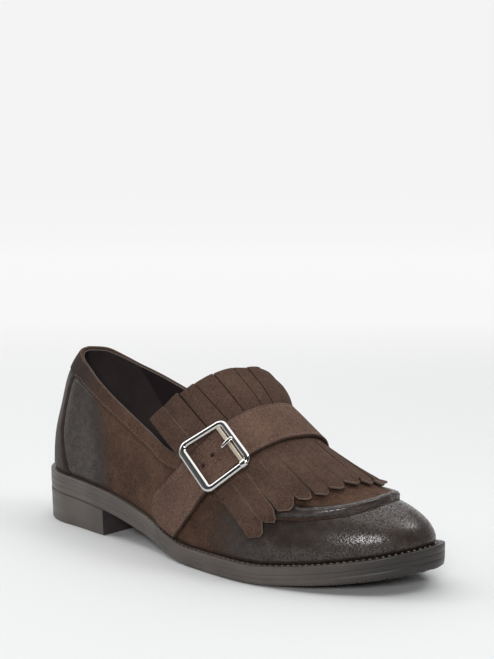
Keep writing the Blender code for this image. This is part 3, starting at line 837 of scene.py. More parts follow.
@dataclass
class Upper:
    """Suede upper with its apron seam, back strip and collar band, and the lining inside it.

    Heights and walls are millimetres. Spans, widths and the places of lines are shares of U or V.
    """
    wall: float = 1.15
    lining_gap: float = 0.05
    lining_wall: float = 0.8
    columns: tuple[Run, ...] = (
        (0.0, 0.16, 16), (0.16, 0.24, 26), (0.24, 0.545, 50), (0.545, 1.0, 92))
    rows: tuple[int, int, int] = (24, 34, 32)
    seam_span: Span = (-0.035, 0.14)
    crease: Table = Table("u v", (
        (0.0, 0.34), (0.50, 0.31), (0.62, 0.345), (0.70, 0.417), (0.735, 0.467), (0.774, 0.541),
        (0.818, 0.645), (0.86, 0.72), (0.90, 0.7755), (0.94, 0.802), (1.0, 0.82)))
    seam_fade: Span = (0.60, 0.69)
    seam_profile: Table = Table("rise height", (
        (-1.0, 0.0), (-0.05, 0.0), (-0.022, -0.1), (-0.006, -0.75), (0.004, 0.1), (0.016, 1.7), (0.035, 2.75),
        (0.055, 3.05), (0.080, 2.80), (0.108, 1.7), (0.130, 0.95), (0.17, 0.85), (1.0, 0.9)))
    strip_edge: Table = Table("v u", (
        (0.0, 0.224), (0.13, 0.200), (0.24, 0.185), (0.39, 0.178), (0.53, 0.176), (1.0, 0.172)))
    strip_rise: float = 0.75
    strip_step: Span = (-0.001, 0.005)
    strip_groove: SoftLine = SoftLine(-0.0045, 0.0028, 0.55)
    strip_end: Span = (-0.012, 0.004)
    strip_blend: Span = (-0.004, 0.004)
    strip_matt: float = 0.45
    strip_wax_loss: float = 0.2
    band: Table = Table("u width", (
        (0.0, 0.130), (0.16, 0.115), (0.22, 0.094), (0.30, 0.080), (0.36, 0.070), (0.43, 0.065),
        (0.50, 0.070), (1.0, 0.07)))
    band_rise: float = 0.4
    band_step: Span = (-0.004, 0.008)
    band_groove: SoftLine = SoftLine(-0.006, 0.005, 0.5)
    band_wax_loss: float = 0.6
    band_blend: Span = (-0.02, 0.01)
    throat_fade: Span = (0.0, 0.02)
    tab_rise: float = 0.8
    tab_span: Span = (0.12, 0.24)
    back_hollow: SoftLine = SoftLine(0.36, 0.13, 1.3)
    tuck: Span = (0.7, 0.03)
    heel_wax: Table = Table("v u", (
        (0.0, 0.333), (0.10, 0.337), (0.25, 0.329), (0.39, 0.310), (0.50, 0.280), (0.62, 0.235), (1.0, 0.18)))
    heel_wax_fade: Span = (-0.045, 0.03)
    # The toe's wax starts early on the vamp, so its soft start also paints shade beside the lower strips and
    # the strap.
    toe_wax_and_vamp_shade: Span = (0.47, 0.71)
    toe_wax_top: Span = (0.090, 0.128)
    seam_wear: SoftLine = SoftLine(-0.004, 0.010, 0.8)
    wax_core: float = 1.5
    polish: Table = Table("u share", (
        (0.0, 0.35), (0.40, 0.35), (0.48, 0.0), (0.56, 0.06), (0.61, 0.35), (0.66, 0.8), (0.70, 1.0),
        (1.0, 1.0)))
    creases: tuple[SoftCrease, ...] = (
        SoftCrease((0.40, 0.08), (0.47, 0.22), 7.0, -0.55, Side.LATERAL),
        SoftCrease((0.30, 0.34), (0.37, 0.20), 6.0, -0.35, Side.LATERAL),
        SoftCrease((0.585, 0.05), (0.60, 0.20), 4.5, -0.45, Side.LATERAL),
        SoftCrease((0.625, 0.04), (0.645, 0.24), 5.0, 0.35, Side.LATERAL),
        SoftCrease((0.665, 0.10), (0.69, 0.28), 4.0, -0.30, Side.LATERAL),
        SoftCrease((0.38, 0.10), (0.45, 0.26), 7.0, -0.55, Side.MEDIAL),
        SoftCrease((0.58, 0.06), (0.605, 0.24), 4.5, -0.45, Side.MEDIAL),
        SoftCrease((0.63, 0.05), (0.65, 0.22), 5.0, 0.35, Side.MEDIAL))
    panel_seam: tuple[Span, float] = ((0.257, 0.546), 0.274)
    panel_blend: Span = (-0.003, 0.003)
    # Painted shade in the apron, strip and band grooves and in the crease at the tucked foot.
    apron_groove_shade: SoftLine = SoftLine(-0.006, 0.007, 0.55)
    strip_groove_shade: SoftLine = SoftLine(-0.0045, 0.0035, 1.0)
    strip_groove_shade_end: Span = (-0.03, -0.005)
    band_groove_shade: SoftLine = SoftLine(-0.006, 0.006, 0.35)
    foot_crease_shade: Span = (0.7, 0.022)
    tab_dark: tuple[Span, Span] = ((-0.01, 0.02), (0.20, 0.40))
    rim_dark: float = 1.3
    collar_run: Run = (0.188, 0.535, 240)
    collar_inset: float = 0.013
    collar_seam: StitchLook = StitchLook(2.6, 1.7, 0.30, 0.06)
    apron_run: Run = (0.66, 1.0, 260)
    apron_inset: float = -0.004
    apron_seam: StitchLook = StitchLook(3.4, 2.2, 0.26, 0.10)
    suede: Suede = BurnishedSuede("upper_suede", (0.0335, 0.0166, 0.0098), (0.122, 0.0650, 0.0405))
    edge: Suede = Suede("upper_edge", (0.050, 0.031, 0.023), (0.105, 0.068, 0.051))
    lining: SmoothLeather = SmoothLeather(
        "lining", (0.046, 0.035, 0.034), (0.070, 0.054, 0.053), 0.55, panel=(0.030, 0.020, 0.023))
    lining_edge: SmoothLeather = SmoothLeather(
        "lining_edge", (0.070, 0.057, 0.050), (0.115, 0.098, 0.088), 0.6)
    collar_thread: Thread = Thread("upper_thread", (0.075, 0.046, 0.033), (0.150, 0.102, 0.078))
    apron_thread: Thread = Thread("apron_thread", (0.026, 0.013, 0.009), (0.060, 0.034, 0.025))

    def seam_height(self, u: Array, v: Array) -> Array:
        """Height of the wall at the apron seam: groove, rolled ridge and plug, fading towards the waist."""
        return self.seam_profile("height", v - self.crease("v", u)) * smooth(*self.seam_fade, u)

    def over_band(self, u: Array, v: Array, top: Array) -> Array:
        """Distance in V over the lower edge of the collar band."""
        return v - (top - self.band("width", u))

    def height(self, u: Array, v: Array, top: Array, side: Side) -> Array:
        """Height of the outer face over the last: seam, back strip, collar band, creases and tucked foot.

        Args:
            u: Stations.
            v: Shares of the sections.
            top: V of the topline at the stations.
            side: Side of the foot.
        Returns:
            Heights in millimetres.
        """
        inside, over = self.strip_edge("u", v) - u, self.over_band(u, v, top)
        strip = self.strip_rise * smooth(*self.strip_step, inside) - self.strip_groove(inside)
        strip = strip * (1 - smooth(*self.strip_end, over))
        behind = 1 - smooth(*self.tab_span, u)
        band = (self.band_rise + self.tab_rise * behind) * smooth(*self.band_step, over)
        band = (band - self.band_groove(over)) * smooth(*self.throat_fade, SHAPE.throat - u)
        depth, tucked = self.tuck
        tuck = -depth * (1 - smooth(0.0, tucked, v))
        soft = sum(crease.lift(u, v) for crease in self.creases if crease.side is side)
        return self.seam_height(u, v) + strip + band - self.back_hollow(v) * behind + tuck + soft

    def surface(self, u: Array, v: Array, side: Side) -> tuple[Array, Array]:
        """Points and normals of the outer face."""
        normal = SHAPE.last_normal(u, v, side)
        lift = self.height(u, v, SHAPE.collar_v(u, side), side)
        return SHAPE.last(u, v, side) + normal * lift[..., None], normal

    def grid_rows(self, u: Array, top: Array) -> Array:
        """V of the grid's rows: even up to the seam, close over it, even to the top."""
        low, high = self.seam_span
        crease = np.minimum(self.crease("v", u), top / 2)
        squeeze = np.minimum(1.0, (top - crease) / (2 * high))
        knots = np.stack([0 * u, crease + low * squeeze, crease + high * squeeze, top], -1)
        shares = [np.linspace(0, 1, count, endpoint=k == 2) for k, count in enumerate(self.rows)]
        return np.concatenate([knots[:, k:k + 1] + (knots[:, k + 1:k + 2] - knots[:, k:k + 1]) * share
                               for k, share in enumerate(shares)], 1)

    def wax(self, u: Array, v: Array, top: Array) -> Array:
        """Share of burnish: toe and apron ridge up to the plug, and the counter at the heel. The toe's soft
        start on the vamp also paints shade beside the lower strips and the strap.
        """
        rise = v - self.crease("v", u)
        toe = smooth(*self.toe_wax_and_vamp_shade, u) * (1 - smooth(*self.toe_wax_top, rise)) * (1 - self.seam_wear(rise))
        below_band = 1 - self.band_wax_loss * smooth(*self.band_blend, self.over_band(u, v, top))
        heel = self.counter(u, v) * below_band * (1 - self.strip_wax_loss * self.in_strip(u, v))
        return self.wax_core * np.maximum(toe, heel)

    def in_strip(self, u: Array, v: Array) -> Array:
        """Share of the back strip."""
        return smooth(*self.strip_blend, self.strip_edge("u", v) - u)

    def counter(self, u: Array, v: Array) -> Array:
        """Share of the burnished counter, fading forwards from the back of the heel."""
        return 1 - smooth(*self.heel_wax_fade, u - self.heel_wax("u", v))

    def seams(self, u: Array, v: Array, top: Array) -> Array:
        """Share of darkening: painted shade in the apron, strip and band grooves and at the crease of the foot;
        darker tab and counter edge.
        """
        over = self.over_band(u, v, top)
        # Painted shade in the apron groove, the strip's groove, the crease at the foot and the band's groove.
        apron = self.apron_groove_shade(v - self.crease("v", u)) * smooth(*self.seam_fade, u)
        strip = self.strip_groove_shade(self.strip_edge("u", v) - u) * (1 - smooth(*self.strip_groove_shade_end, over))
        share, height = self.foot_crease_shade
        foot = share * (1 - smooth(0.0, height, v))
        band = self.band_groove_shade(over) * smooth(*self.throat_fade, SHAPE.throat - u)
        above, behind = self.tab_dark
        tab = smooth(*above, over) * (1 - smooth(*behind, u))
        heel = self.counter(u, v)
        rim = self.rim_dark * heel * (1 - heel) * (1 - smooth(*self.band_blend, over))
        return np.clip(apron + strip + foot + band + tab + rim, 0, 1)

    def tags(self, u: Array, v: Array, top: Array) -> dict[str, Array]:
        """Values that the finishes read: burnish, seam darkness with its painted shade, polish, and the
        lining's front panel.
        """
        (seam_u, seam_v), lean = self.panel_seam
        return {"burnish": self.wax(u, v, top), "seam": self.seams(u, v, top),
                "polish": self.polish("share", u) * (1 - self.strip_matt * self.in_strip(u, v)),
                "panel": smooth(*self.panel_blend, u - seam_u - lean * (seam_v - v))}

    def twin_grid(self, u: Array) -> tuple[dict[Side, Array], Array, dict[Side, Array]]:
        """Grid of both sides, welded at heel, toe and along the ridge past the throat.

        Args:
            u: Stations of the columns.
        Returns:
            V of the grid by side, numbers of the points that are kept, and the grid's new numbers by side.
        """
        rows = {side: self.grid_rows(u, SHAPE.collar_v(u, side)) for side in Side}
        shape = rows[Side.LATERAL].shape
        lateral = np.arange(rows[Side.LATERAL].size).reshape(shape)
        medial = lateral + lateral.size
        medial[0], medial[-1] = lateral[0], lateral[-1]
        vamp = u >= SHAPE.throat - TINY
        medial[vamp, -1] = lateral[vamp, -1]
        kept, numbers = np.unique(np.stack([lateral, medial]), return_inverse=True)
        lateral, medial = numbers.reshape(2, *shape)
        return rows, kept, {Side.LATERAL: lateral, Side.MEDIAL: medial}

    def sheet(self, u: Array) -> tuple[Array, Array, Array, dict[str, Array], Array]:
        """Outer face of the upper as one welded sheet.

        Args:
            u: Stations of the columns.
        Returns:
            Points of the last, normals, quads, tags, and heights of the outer face over the last.
        """
        rows, kept, index = self.twin_grid(u)
        points, slopes, heights, tags = [], [], [], []
        for side, v in rows.items():
            station, top = np.broadcast_to(u[:, None], v.shape), v[:, -1:]
            points.append(SHAPE.last(station, v, side).reshape(-1, 3))
            slopes.append(SHAPE.last_normal(station, v, side).reshape(-1, 3))
            heights.append(self.height(station, v, top, side).ravel())
            tags.append(self.tags(station, v, top))
        normals = np.zeros((len(kept), 3))
        for side, slope in zip(Side, slopes):
            np.add.at(normals, index[side].ravel(), slope)
        quads = np.concatenate([grid_quads(index[Side.LATERAL]), grid_quads(index[Side.MEDIAL], flip=True)])
        tagged = {name: np.concatenate([side[name].ravel() for side in tags])[kept] for name in tags[0]}
        return np.concatenate(points)[kept], unit(normals), quads, tagged, np.concatenate(heights)[kept]

    def stations(self) -> Array:
        """Stations of the grid's columns, close at the back strip's edge and at the toe."""
        parts = [np.linspace(start, end, count, endpoint=False) for start, end, count in self.columns]
        return np.concatenate(parts + [[1.0]])

    def build(self) -> None:
        """Make the upper, its lining and its stitches."""
        points, normals, quads, tags, height = self.sheet(self.stations())
        outer, inner = points + normals * height[:, None], points - normals * self.wall
        suede = self.suede.build()
        make_piece("upper_suede", shell(outer, inner, quads, tags), [suede, suede, self.edge.build()],
                   Slot.UPPER, ["upper"])
        front = points - normals * (self.wall + self.lining_gap)
        back = front - normals * self.lining_wall
        lining = self.lining.build()
        make_piece("lining", shell(front, back, quads, tags), [lining, lining, self.lining_edge.build()],
                   Slot.LINING)
        collar, apron = joined(self.collar_stitches()), joined(self.apron_stitches())
        make_piece("collar_stitches", collar, [self.collar_thread.build()], Slot.UPPER)
        make_piece("apron_stitches", apron, [self.apron_thread.build()], Slot.UPPER)

    def collar_stitches(self) -> Iterator[Skin]:
        """Stitches just over the lower edge of the collar band, on both sides."""
        u = np.linspace(*self.collar_run)
        for side in Side:
            v = SHAPE.collar_v(u, side) - self.band("width", u) + self.collar_inset
            yield self.collar_seam.run(*self.surface(u, v, side))

    def apron_stitches(self) -> Iterator[Skin]:
        """Stitches in the groove under the apron's ridge, on both sides."""
        u = np.linspace(*self.apron_run)
        for side in Side:
            yield self.apron_seam.run(*self.surface(u, self.crease("v", u) + self.apron_inset, side))


@dataclass(frozen=True)
class Fringe:
    """Row of strips at one end of the kiltie.

    Attributes:
        roots: S of the cuts where they begin, with both edges of the flap; S goes from -1 to 1 across it.
        tips: S of the same cuts at the strips' ends.
        slit: Width of a cut in S at its root and at its tip, against S; below 0 the strips' ends overlap.
        root: Distance B where the cuts begin.
        ends: Distance B of the strips' ends against S.
        lift: Height of the ends against S, in millimetres.
        point: Part of an end that isn't clipped, from -1 to 1 across the strip.
        clip: How far the corners of an end are cut back.
        skew: Extra distance B at one corner of an end, taken away at the other.
        rows: Grid rows along a strip.
        seed: Seed of the small differences between strips.
        tilt: Largest extra height of a strip's edge.
        uneven: Largest difference in length.
        curl: Largest extra height of a strip's end.
        curl_power: Power of the share of a strip with which tilt and curl grow.
        bow: Sideways shift in S of the middle of a strip against S.
        depth: Painted shade inside the cuts against S, 0 for a pale cut and 1 for a cut painted dark as a
            shaded gap.
    """
    roots: tuple[float, ...]
    tips: tuple[float, ...]
    slit: Table
    root: float
    ends: Table
    lift: Table
    point: tuple[float, float]
    clip: float
    skew: float
    rows: int
    seed: int
    tilt: float = 0.35
    uneven: float = 0.6
    bow: Table = Table("s shift", ((-1.0, 0.022), (-0.5, 0.027), (-0.2, 0.022), (0.1, 0.0), (1.0, 0.0)))
    # Painted slit shade against S.
    depth: Table = Table("s share", (
        (-1.0, 0.0), (-0.52, 0.0), (-0.44, 0.5), (0.0, 0.5), (0.15, 1.0), (1.0, 1.0)))
    curl: float = 0.3
    curl_power: float = 1.5

    def strips(self, end: str = "root") -> Array:
        """Start and end of each strip in S, between the cuts' roots or their tips."""
        cuts = np.array(self.roots if end == "root" else self.tips)
        half = self.slit(end, cuts) / 2
        half[0] = half[-1] = 0.0
        return np.stack([cuts[:-1] + half[:-1], cuts[1:] - half[1:]], 1)

    def corners(self) -> Array:
        """S of the roots of the lines that end in the clipped corners."""
        spans = self.strips()
        shares = (1 + np.array(self.point)) / 2
        return (spans[:, :1] + (spans[:, 1:] - spans[:, :1]) * shares).ravel()

    def strip(self, number: int, s: Array) -> tuple[Array, Array, Array]:
        """One strip's grid: S and B from the root to the end, and its lift.

        S goes from root to tip with a bow 4 t (1 - t). The end is flat between its points and clipped at its
        corners. The lift grows along the strip as t² or 1 - (1 - t)², with a small tilt across it.

        Args:
            number: Number of the strip.
            s: S of its columns at the root.
        Returns:
            S, B and lift of the strip's points, columns first, without the root row.
        """
        (start, end), (tip_start, tip_end) = self.strips()[number], self.strips("tip")[number]
        share = (s - start) / (end - start)
        across = 2 * share - 1
        tip = tip_start + share * (tip_end - tip_start)
        random = np.random.default_rng(self.seed + number)
        tilt, shift, curl = random.uniform(-1, 1, 3) * (self.tilt, self.uneven, self.curl)
        reach = self.ends("b", (tip_start + tip_end) / 2) + shift + self.skew * across
        away = np.sign(reach - self.root)
        low, high = self.point
        cut = np.maximum((low - across) / (1 + low), (across - high) / (1 - high))
        reach = reach - away * self.clip * np.clip(cut, 0, 1)
        t = np.linspace(0, 1, self.rows + 1)[1:]
        b = self.root + (reach[:, None] - self.root) * t
        lift = self.lift("height", tip)[:, None] * np.where(away[:, None] < 0, t * (2 - t), t ** 2)
        lift = lift + (tilt * across[:, None] + curl) * t ** self.curl_power + abs(tilt) * t
        bow = self.bow("shift", s)[:, None] * 4 * t * (1 - t)
        return s[:, None] + (tip - s)[:, None] * t + bow, b, lift


@dataclass
class Kiltie:
    """Fringed flap over the instep: a band under the strap with strips cut up and down from it."""
    upper: Upper
    wall: float = 1.5
    gap: float = 0.6
    edge_round: float = 0.20
    edge: Table = Table("b v", (
        (44, 0.472), (80, 0.40), (112, 0.34), (130, 0.255), (150, 0.165), (166, 0.10)))
    column_step: float = 0.0125
    band_rows: int = 24
    probe: tuple[float, int] = (0.04, 9)
    suede: Suede = Suede("kiltie_suede", (0.046, 0.0270, 0.0198), (0.110, 0.0680, 0.0506))
    # Pale cut edges, painted dark with slit shade where the slit tag says so.
    cut: CutEdgeWithSlitShade = CutEdgeWithSlitShade("kiltie_edge", (0.125, 0.088, 0.069), (0.200, 0.148, 0.120))
    top: Fringe = Fringe(
        (-0.985, -0.81, -0.66, -0.486, -0.315, -0.105, 0.05, 0.20, 0.36, 0.52, 0.68, 0.83, 0.985),
        (-0.975, -0.81, -0.63, -0.467, -0.275, -0.085, 0.06, 0.20, 0.36, 0.52, 0.68, 0.83, 0.985),
        Table("s root tip", ((-1, 0.0085, 0.0085), (0.1, 0.0085, 0.0085), (0.3, 0.0085, 0.004),
                             (0.5, 0.0085, 0.0), (1, 0.0085, 0.0))), 92.0,
        Table("s b", ((-1.0, 48.8), (-0.8, 51.5), (-0.5, 56.0), (-0.2, 59.6), (0.0, 62.0), (0.15, 64.5),
                      (0.3, 66.0), (0.45, 67.5), (0.6, 67.5), (0.8, 64.0), (1.0, 58.5))),
        Table("s height", ((-1.0, 1.6), (-0.5, 2.4), (-0.2, 3.5), (0.0, 3.8), (0.15, 5.5), (0.3, 6.5),
                           (0.45, 8.5), (0.6, 13.5), (0.75, 9.5), (0.9, 6.0), (1.0, 5.0))),
        (-0.9, 0.9), 0.3, 1.0, 30, 3, 0.6, 0.3, Table("s shift", ((-1.0, 0.0), (1.0, 0.0))),
        # Painted slit shade against S.
        Table("s share", ((-1.0, 0.0), (-0.78, 0.0), (-0.65, 1.0), (1.0, 1.0))))
    lower: Fringe = Fringe(
        (-0.985, -0.832, -0.672, -0.506, -0.345, -0.185, -0.02, 0.17, 0.34, 0.50, 0.66, 0.82, 0.985),
        (-0.985, -0.832, -0.708, -0.551, -0.429, -0.302, -0.142, 0.055, 0.20, 0.36, 0.55, 0.745, 0.94),
        Table("s root tip", ((-1, 0.010, 0.010), (0, 0.010, 0.010), (0.15, 0.016, 0.016),
                             (1, 0.018, 0.018))), 116.5,
        Table("s b", ((-0.92, 147.0), (-0.79, 147.2), (-0.645, 149.8), (-0.5, 152.6), (-0.375, 155.0),
                      (-0.23, 156.8), (-0.05, 158.2), (0.13, 160.0), (0.29, 161.8), (0.46, 158.0),
                      (0.66, 152.0), (0.86, 146.0))),
        Table("s height", ((-1.0, 1.8), (-0.5, 1.4), (0.0, 0.9), (0.4, 0.5), (1.0, 0.3))),
        (-0.40, 0.10), 4.0, 0.0, 30, 11)

    def place(self, s: Array, b: Array) -> tuple[Array, Array, Array, Array]:
        """Points and normals of the last under places of the flap, V = 1 - |S| (1 - edge V).

        Args:
            s: Shares of the half width, from -1 at the outer edge to 1 at the inner edge.
            b: Distances along the flap's slope.
        Returns:
            Points, normals, U and V.
        """
        v = 1 - np.abs(s) * (1 - self.edge("v", b))
        return *SHAPE.on_slope(v, b, s <= 0), v

    def clear_of_seam(self, u: Array, v: Array) -> Array:
        """Gap over the last: the highest wall within reach across the section."""
        reach, count = self.probe
        nearby = np.clip(v[:, None] + np.linspace(-reach, reach, count), 0, 1)
        return self.gap + self.upper.seam_height(u[:, None] + 0 * nearby, nearby).max(1)

    def columns(self) -> Array:
        """S of the flap's columns: both edges of every cut, and even columns between them."""
        fringes = (self.top, self.lower)
        bounds = np.concatenate([f.strips().ravel() for f in fringes] + [f.corners() for f in fringes])
        bounds = np.unique(np.round(bounds, 6))
        parts = [np.linspace(a, b, max(2, int(math.ceil((b - a) / self.column_step)) + 1))
                 for a, b in zip(bounds, bounds[1:])]
        return np.unique(np.round(np.concatenate(parts), 9))

    def build(self) -> None:
        """Make the flap as one wall with rounded, paler cut edges, painted with shade inside the slits."""
        s = self.columns()
        rows = np.linspace(self.top.root, self.lower.root, self.band_rows)
        grid_s, grid_b = np.meshgrid(s, rows, indexing="ij")
        index = np.arange(grid_s.size).reshape(grid_s.shape)
        quads = [grid_quads(index, flip=True)]
        parts = [(grid_s, grid_b, 0 * grid_s, 0 * grid_s)]
        count = grid_s.size
        for fringe, root in ((self.top, index[:, 0]), (self.lower, index[:, -1])):
            for number, (start, end) in enumerate(fringe.strips()):
                chosen = np.flatnonzero((s > start - SAME_COLUMN) & (s < end + SAME_COLUMN))
                strip_s, strip_b, lift = fringe.strip(number, s[chosen])
                own = np.arange(strip_s.size).reshape(strip_s.shape) + count
                quads.append(grid_quads(np.column_stack([root[chosen], own]), flip=fringe is self.lower))
                # Painted slit shade at each point, none at a strip's end.
                deep = fringe.depth("share", strip_s)
                deep[:, -1] = 0.0
                parts.append((strip_s, strip_b, lift, deep))
                count += strip_s.size
        share, slope, lifted, slit = (np.concatenate([part.ravel() for part in kind]) for kind in zip(*parts))
        point, normal, u, v = self.place(share, slope)
        inner = point + normal * (self.clear_of_seam(u, v) + lifted)[:, None]
        skin = shell(inner + normal * self.wall, inner, np.concatenate(quads), {"slit": slit},
                     bulge=self.edge_round)
        suede = self.suede.build()
        make_piece("kiltie_flap", skin, [suede, suede, self.cut.build()], Slot.KILTIE, ["kiltie"])


@dataclass
class Strap:
    """Instep strap from feather line to feather line, with stitched edges and two punched holes."""
    line: Table = Table("q b half_width", (
        (0.0, 89.4, 13.4), (0.15, 90.7, 14.7), (0.35, 96.2, 12.1), (0.65, 99.4, 11.7),
        (0.93, 101.2, 11.8), (1.2, 103.0, 12.0), (1.7, 104.0, 11.4), (2.0, 103.0, 10.4)))
    wall: float = 2.0
    gap: float = 0.4
    foot: float = 0.035
    climb: Span = (0.20, 0.345)
    climb_height: float = Kiltie.gap + Kiltie.wall
    stations: int = 420
    columns: int = 53
    foot_corner: Span = (0.18, 1.0)
    edge_lift: Table = Table("q lift", (
        (0.0, 0.9), (0.1, 1.3), (0.2, 1.5), (0.3, 1.3), (0.42, 0.4), (0.52, 0.0), (2, 0.0)))
    lifted_part: Span = (-0.6, 1.0)
    groove: SoftLine = SoftLine(1.8, 0.55, 0.22)
    stitch_runs: tuple[tuple[int, Run], ...] = ((-1, (0.15, 1.94, 360)), (1, (0.06, 1.94, 360)))
    stitch_depth: float = 0.2
    seam: StitchLook = StitchLook(2.7, 2.0, 0.2, 0.04)
    holes: tuple[Span, ...] = ((-2.5, 1.6), (-10.0, 0.9))
    hole_radius: float = 1.0
    hole_depth: float = 1.7
    hole_wall: Span = (0.6, 1.25)
    # Painted shade inside the punched holes, carried by the seam tag.
    hole_shade: Span = (0.8, 1.5)
    hole_reach: float = 8.0
    buckle_at: float = 0.525
    frame_reach: Span = (0.02, 0.3)
    suede: Suede = BurnishedSuede("strap_suede", (0.0575, 0.0318, 0.0224), (0.168, 0.0965, 0.0692))
    # Dark cut edge: a dark brown edge, deepened as painted shade of the gap under the lifted edge.
    edge: Suede = Suede("strap_edge", (0.030, 0.018, 0.014), (0.066, 0.042, 0.033))
    thread: Thread = Thread("strap_thread", (0.120, 0.082, 0.066), (0.200, 0.145, 0.118))

    def place(self, q: Array, across: Array) -> tuple[Array, Array, Array]:
        """Points and normals of the last under the strap, and its gap: on the upper at both ends, over the
        flap between them. Q is 0 at the outer feather line, 1 on the ridge and 2 at the inner feather line.

        Args:
            q: Stations along the strap.
            across: Places from -1 at the edge towards the heel to 1 at the edge towards the toe.
        Returns:
            Points, normals and gaps.
        """
        v = np.minimum(q, 2 - q)
        b = self.line("b", q) + across * self.line("half_width", q)
        point, normal, _ = SHAPE.on_slope(v, b, q <= 1)
        lift = self.edge_lift("lift", q) * smooth(*self.lifted_part, across)
        return point, normal, self.gap + self.climb_height * smooth(*self.climb, v) + lift

    def face(self, q: float, across: float) -> Array:
        """Point of the outer face."""
        point, normal, gap = self.place(np.array([q]), np.array([across]))
        return (point + normal * (gap[:, None] + self.wall))[0]

    def frame(self, q: float) -> tuple[Array, Array]:
        """Point on the middle of the outer face, with its directions along, towards the heel, and out."""
        reach, width = self.frame_reach
        along = unit(self.face(q + reach, 0) - self.face(q - reach, 0))
        across = self.face(q, -width) - self.face(q, width)
        across = unit(across - along * along.dot(across))
        return self.face(q, 0), np.array([along, across, np.cross(along, across)])

    def build(self) -> None:
        """Make the strap and its edge stitches.

        The heel-side corner of the outer foot is pulled in along a quarter of an ellipse.
        """
        q = np.linspace(self.foot, 2 - self.foot, self.stations)
        across = np.linspace(-1, 1, self.columns)
        corner, depth = self.foot_corner
        pulled = depth * (1 - np.sqrt(1 - (1 - np.clip((q - self.foot) / corner, 0, 1)) ** 2))
        grid_q, grid_across = np.meshgrid(q, across, indexing="ij")
        grid_across = grid_across + pulled[:, None] * (1 - grid_across) / 2
        point, normal, gap = self.place(grid_q.ravel(), grid_across.ravel())
        inner = point + normal * gap[:, None]
        outer = inner + normal * self.wall
        origin, axes = self.frame(self.buckle_at)
        local = (outer - origin) @ axes.T
        dent, dark = np.zeros(len(outer)), np.zeros(len(outer))
        for along, side in self.holes:
            away = np.hypot(local[:, 0] - along, local[:, 1] - side) / self.hole_radius
            near = np.abs(local[:, 2]) <= self.hole_reach
            dent += self.hole_depth * near * (1 - smooth(*self.hole_wall, away))
            # Painted shade inside each hole.
            dark += near * (1 - smooth(*self.hole_shade, away))
        distance_in = (1 - np.abs(grid_across.ravel())) * self.line("half_width", grid_q.ravel())
        outer = outer - normal * (dent + self.groove(distance_in))[:, None]
        index = np.arange(len(outer)).reshape(self.stations, self.columns)
        # The seam tag carries the holes' painted shade.
        tags = {"seam": np.clip(dark, 0, 1), "burnish": np.full(len(outer), NO_WAX),
                "polish": np.zeros(len(outer))}
        skin = shell(outer, inner, grid_quads(index, flip=True), tags)
        suede = self.suede.build()
        make_piece("strap_suede", skin, [suede, suede, self.edge.build()], Slot.STRAP, ["strap"])
        make_piece("strap_stitches", joined(self.stitches()), [self.thread.build()], Slot.STRAP)

    def stitches(self) -> Iterator[Skin]:
        """Stitches in the grooves along both edges."""
        for sign, run in self.stitch_runs:
            q = np.linspace(*run)
            across = sign * (1 - self.groove.place / self.line("half_width", q))
            point, normal, gap = self.place(q, across)
            yield self.seam.run(point + normal * (gap[:, None] + self.wall - self.stitch_depth), normal)


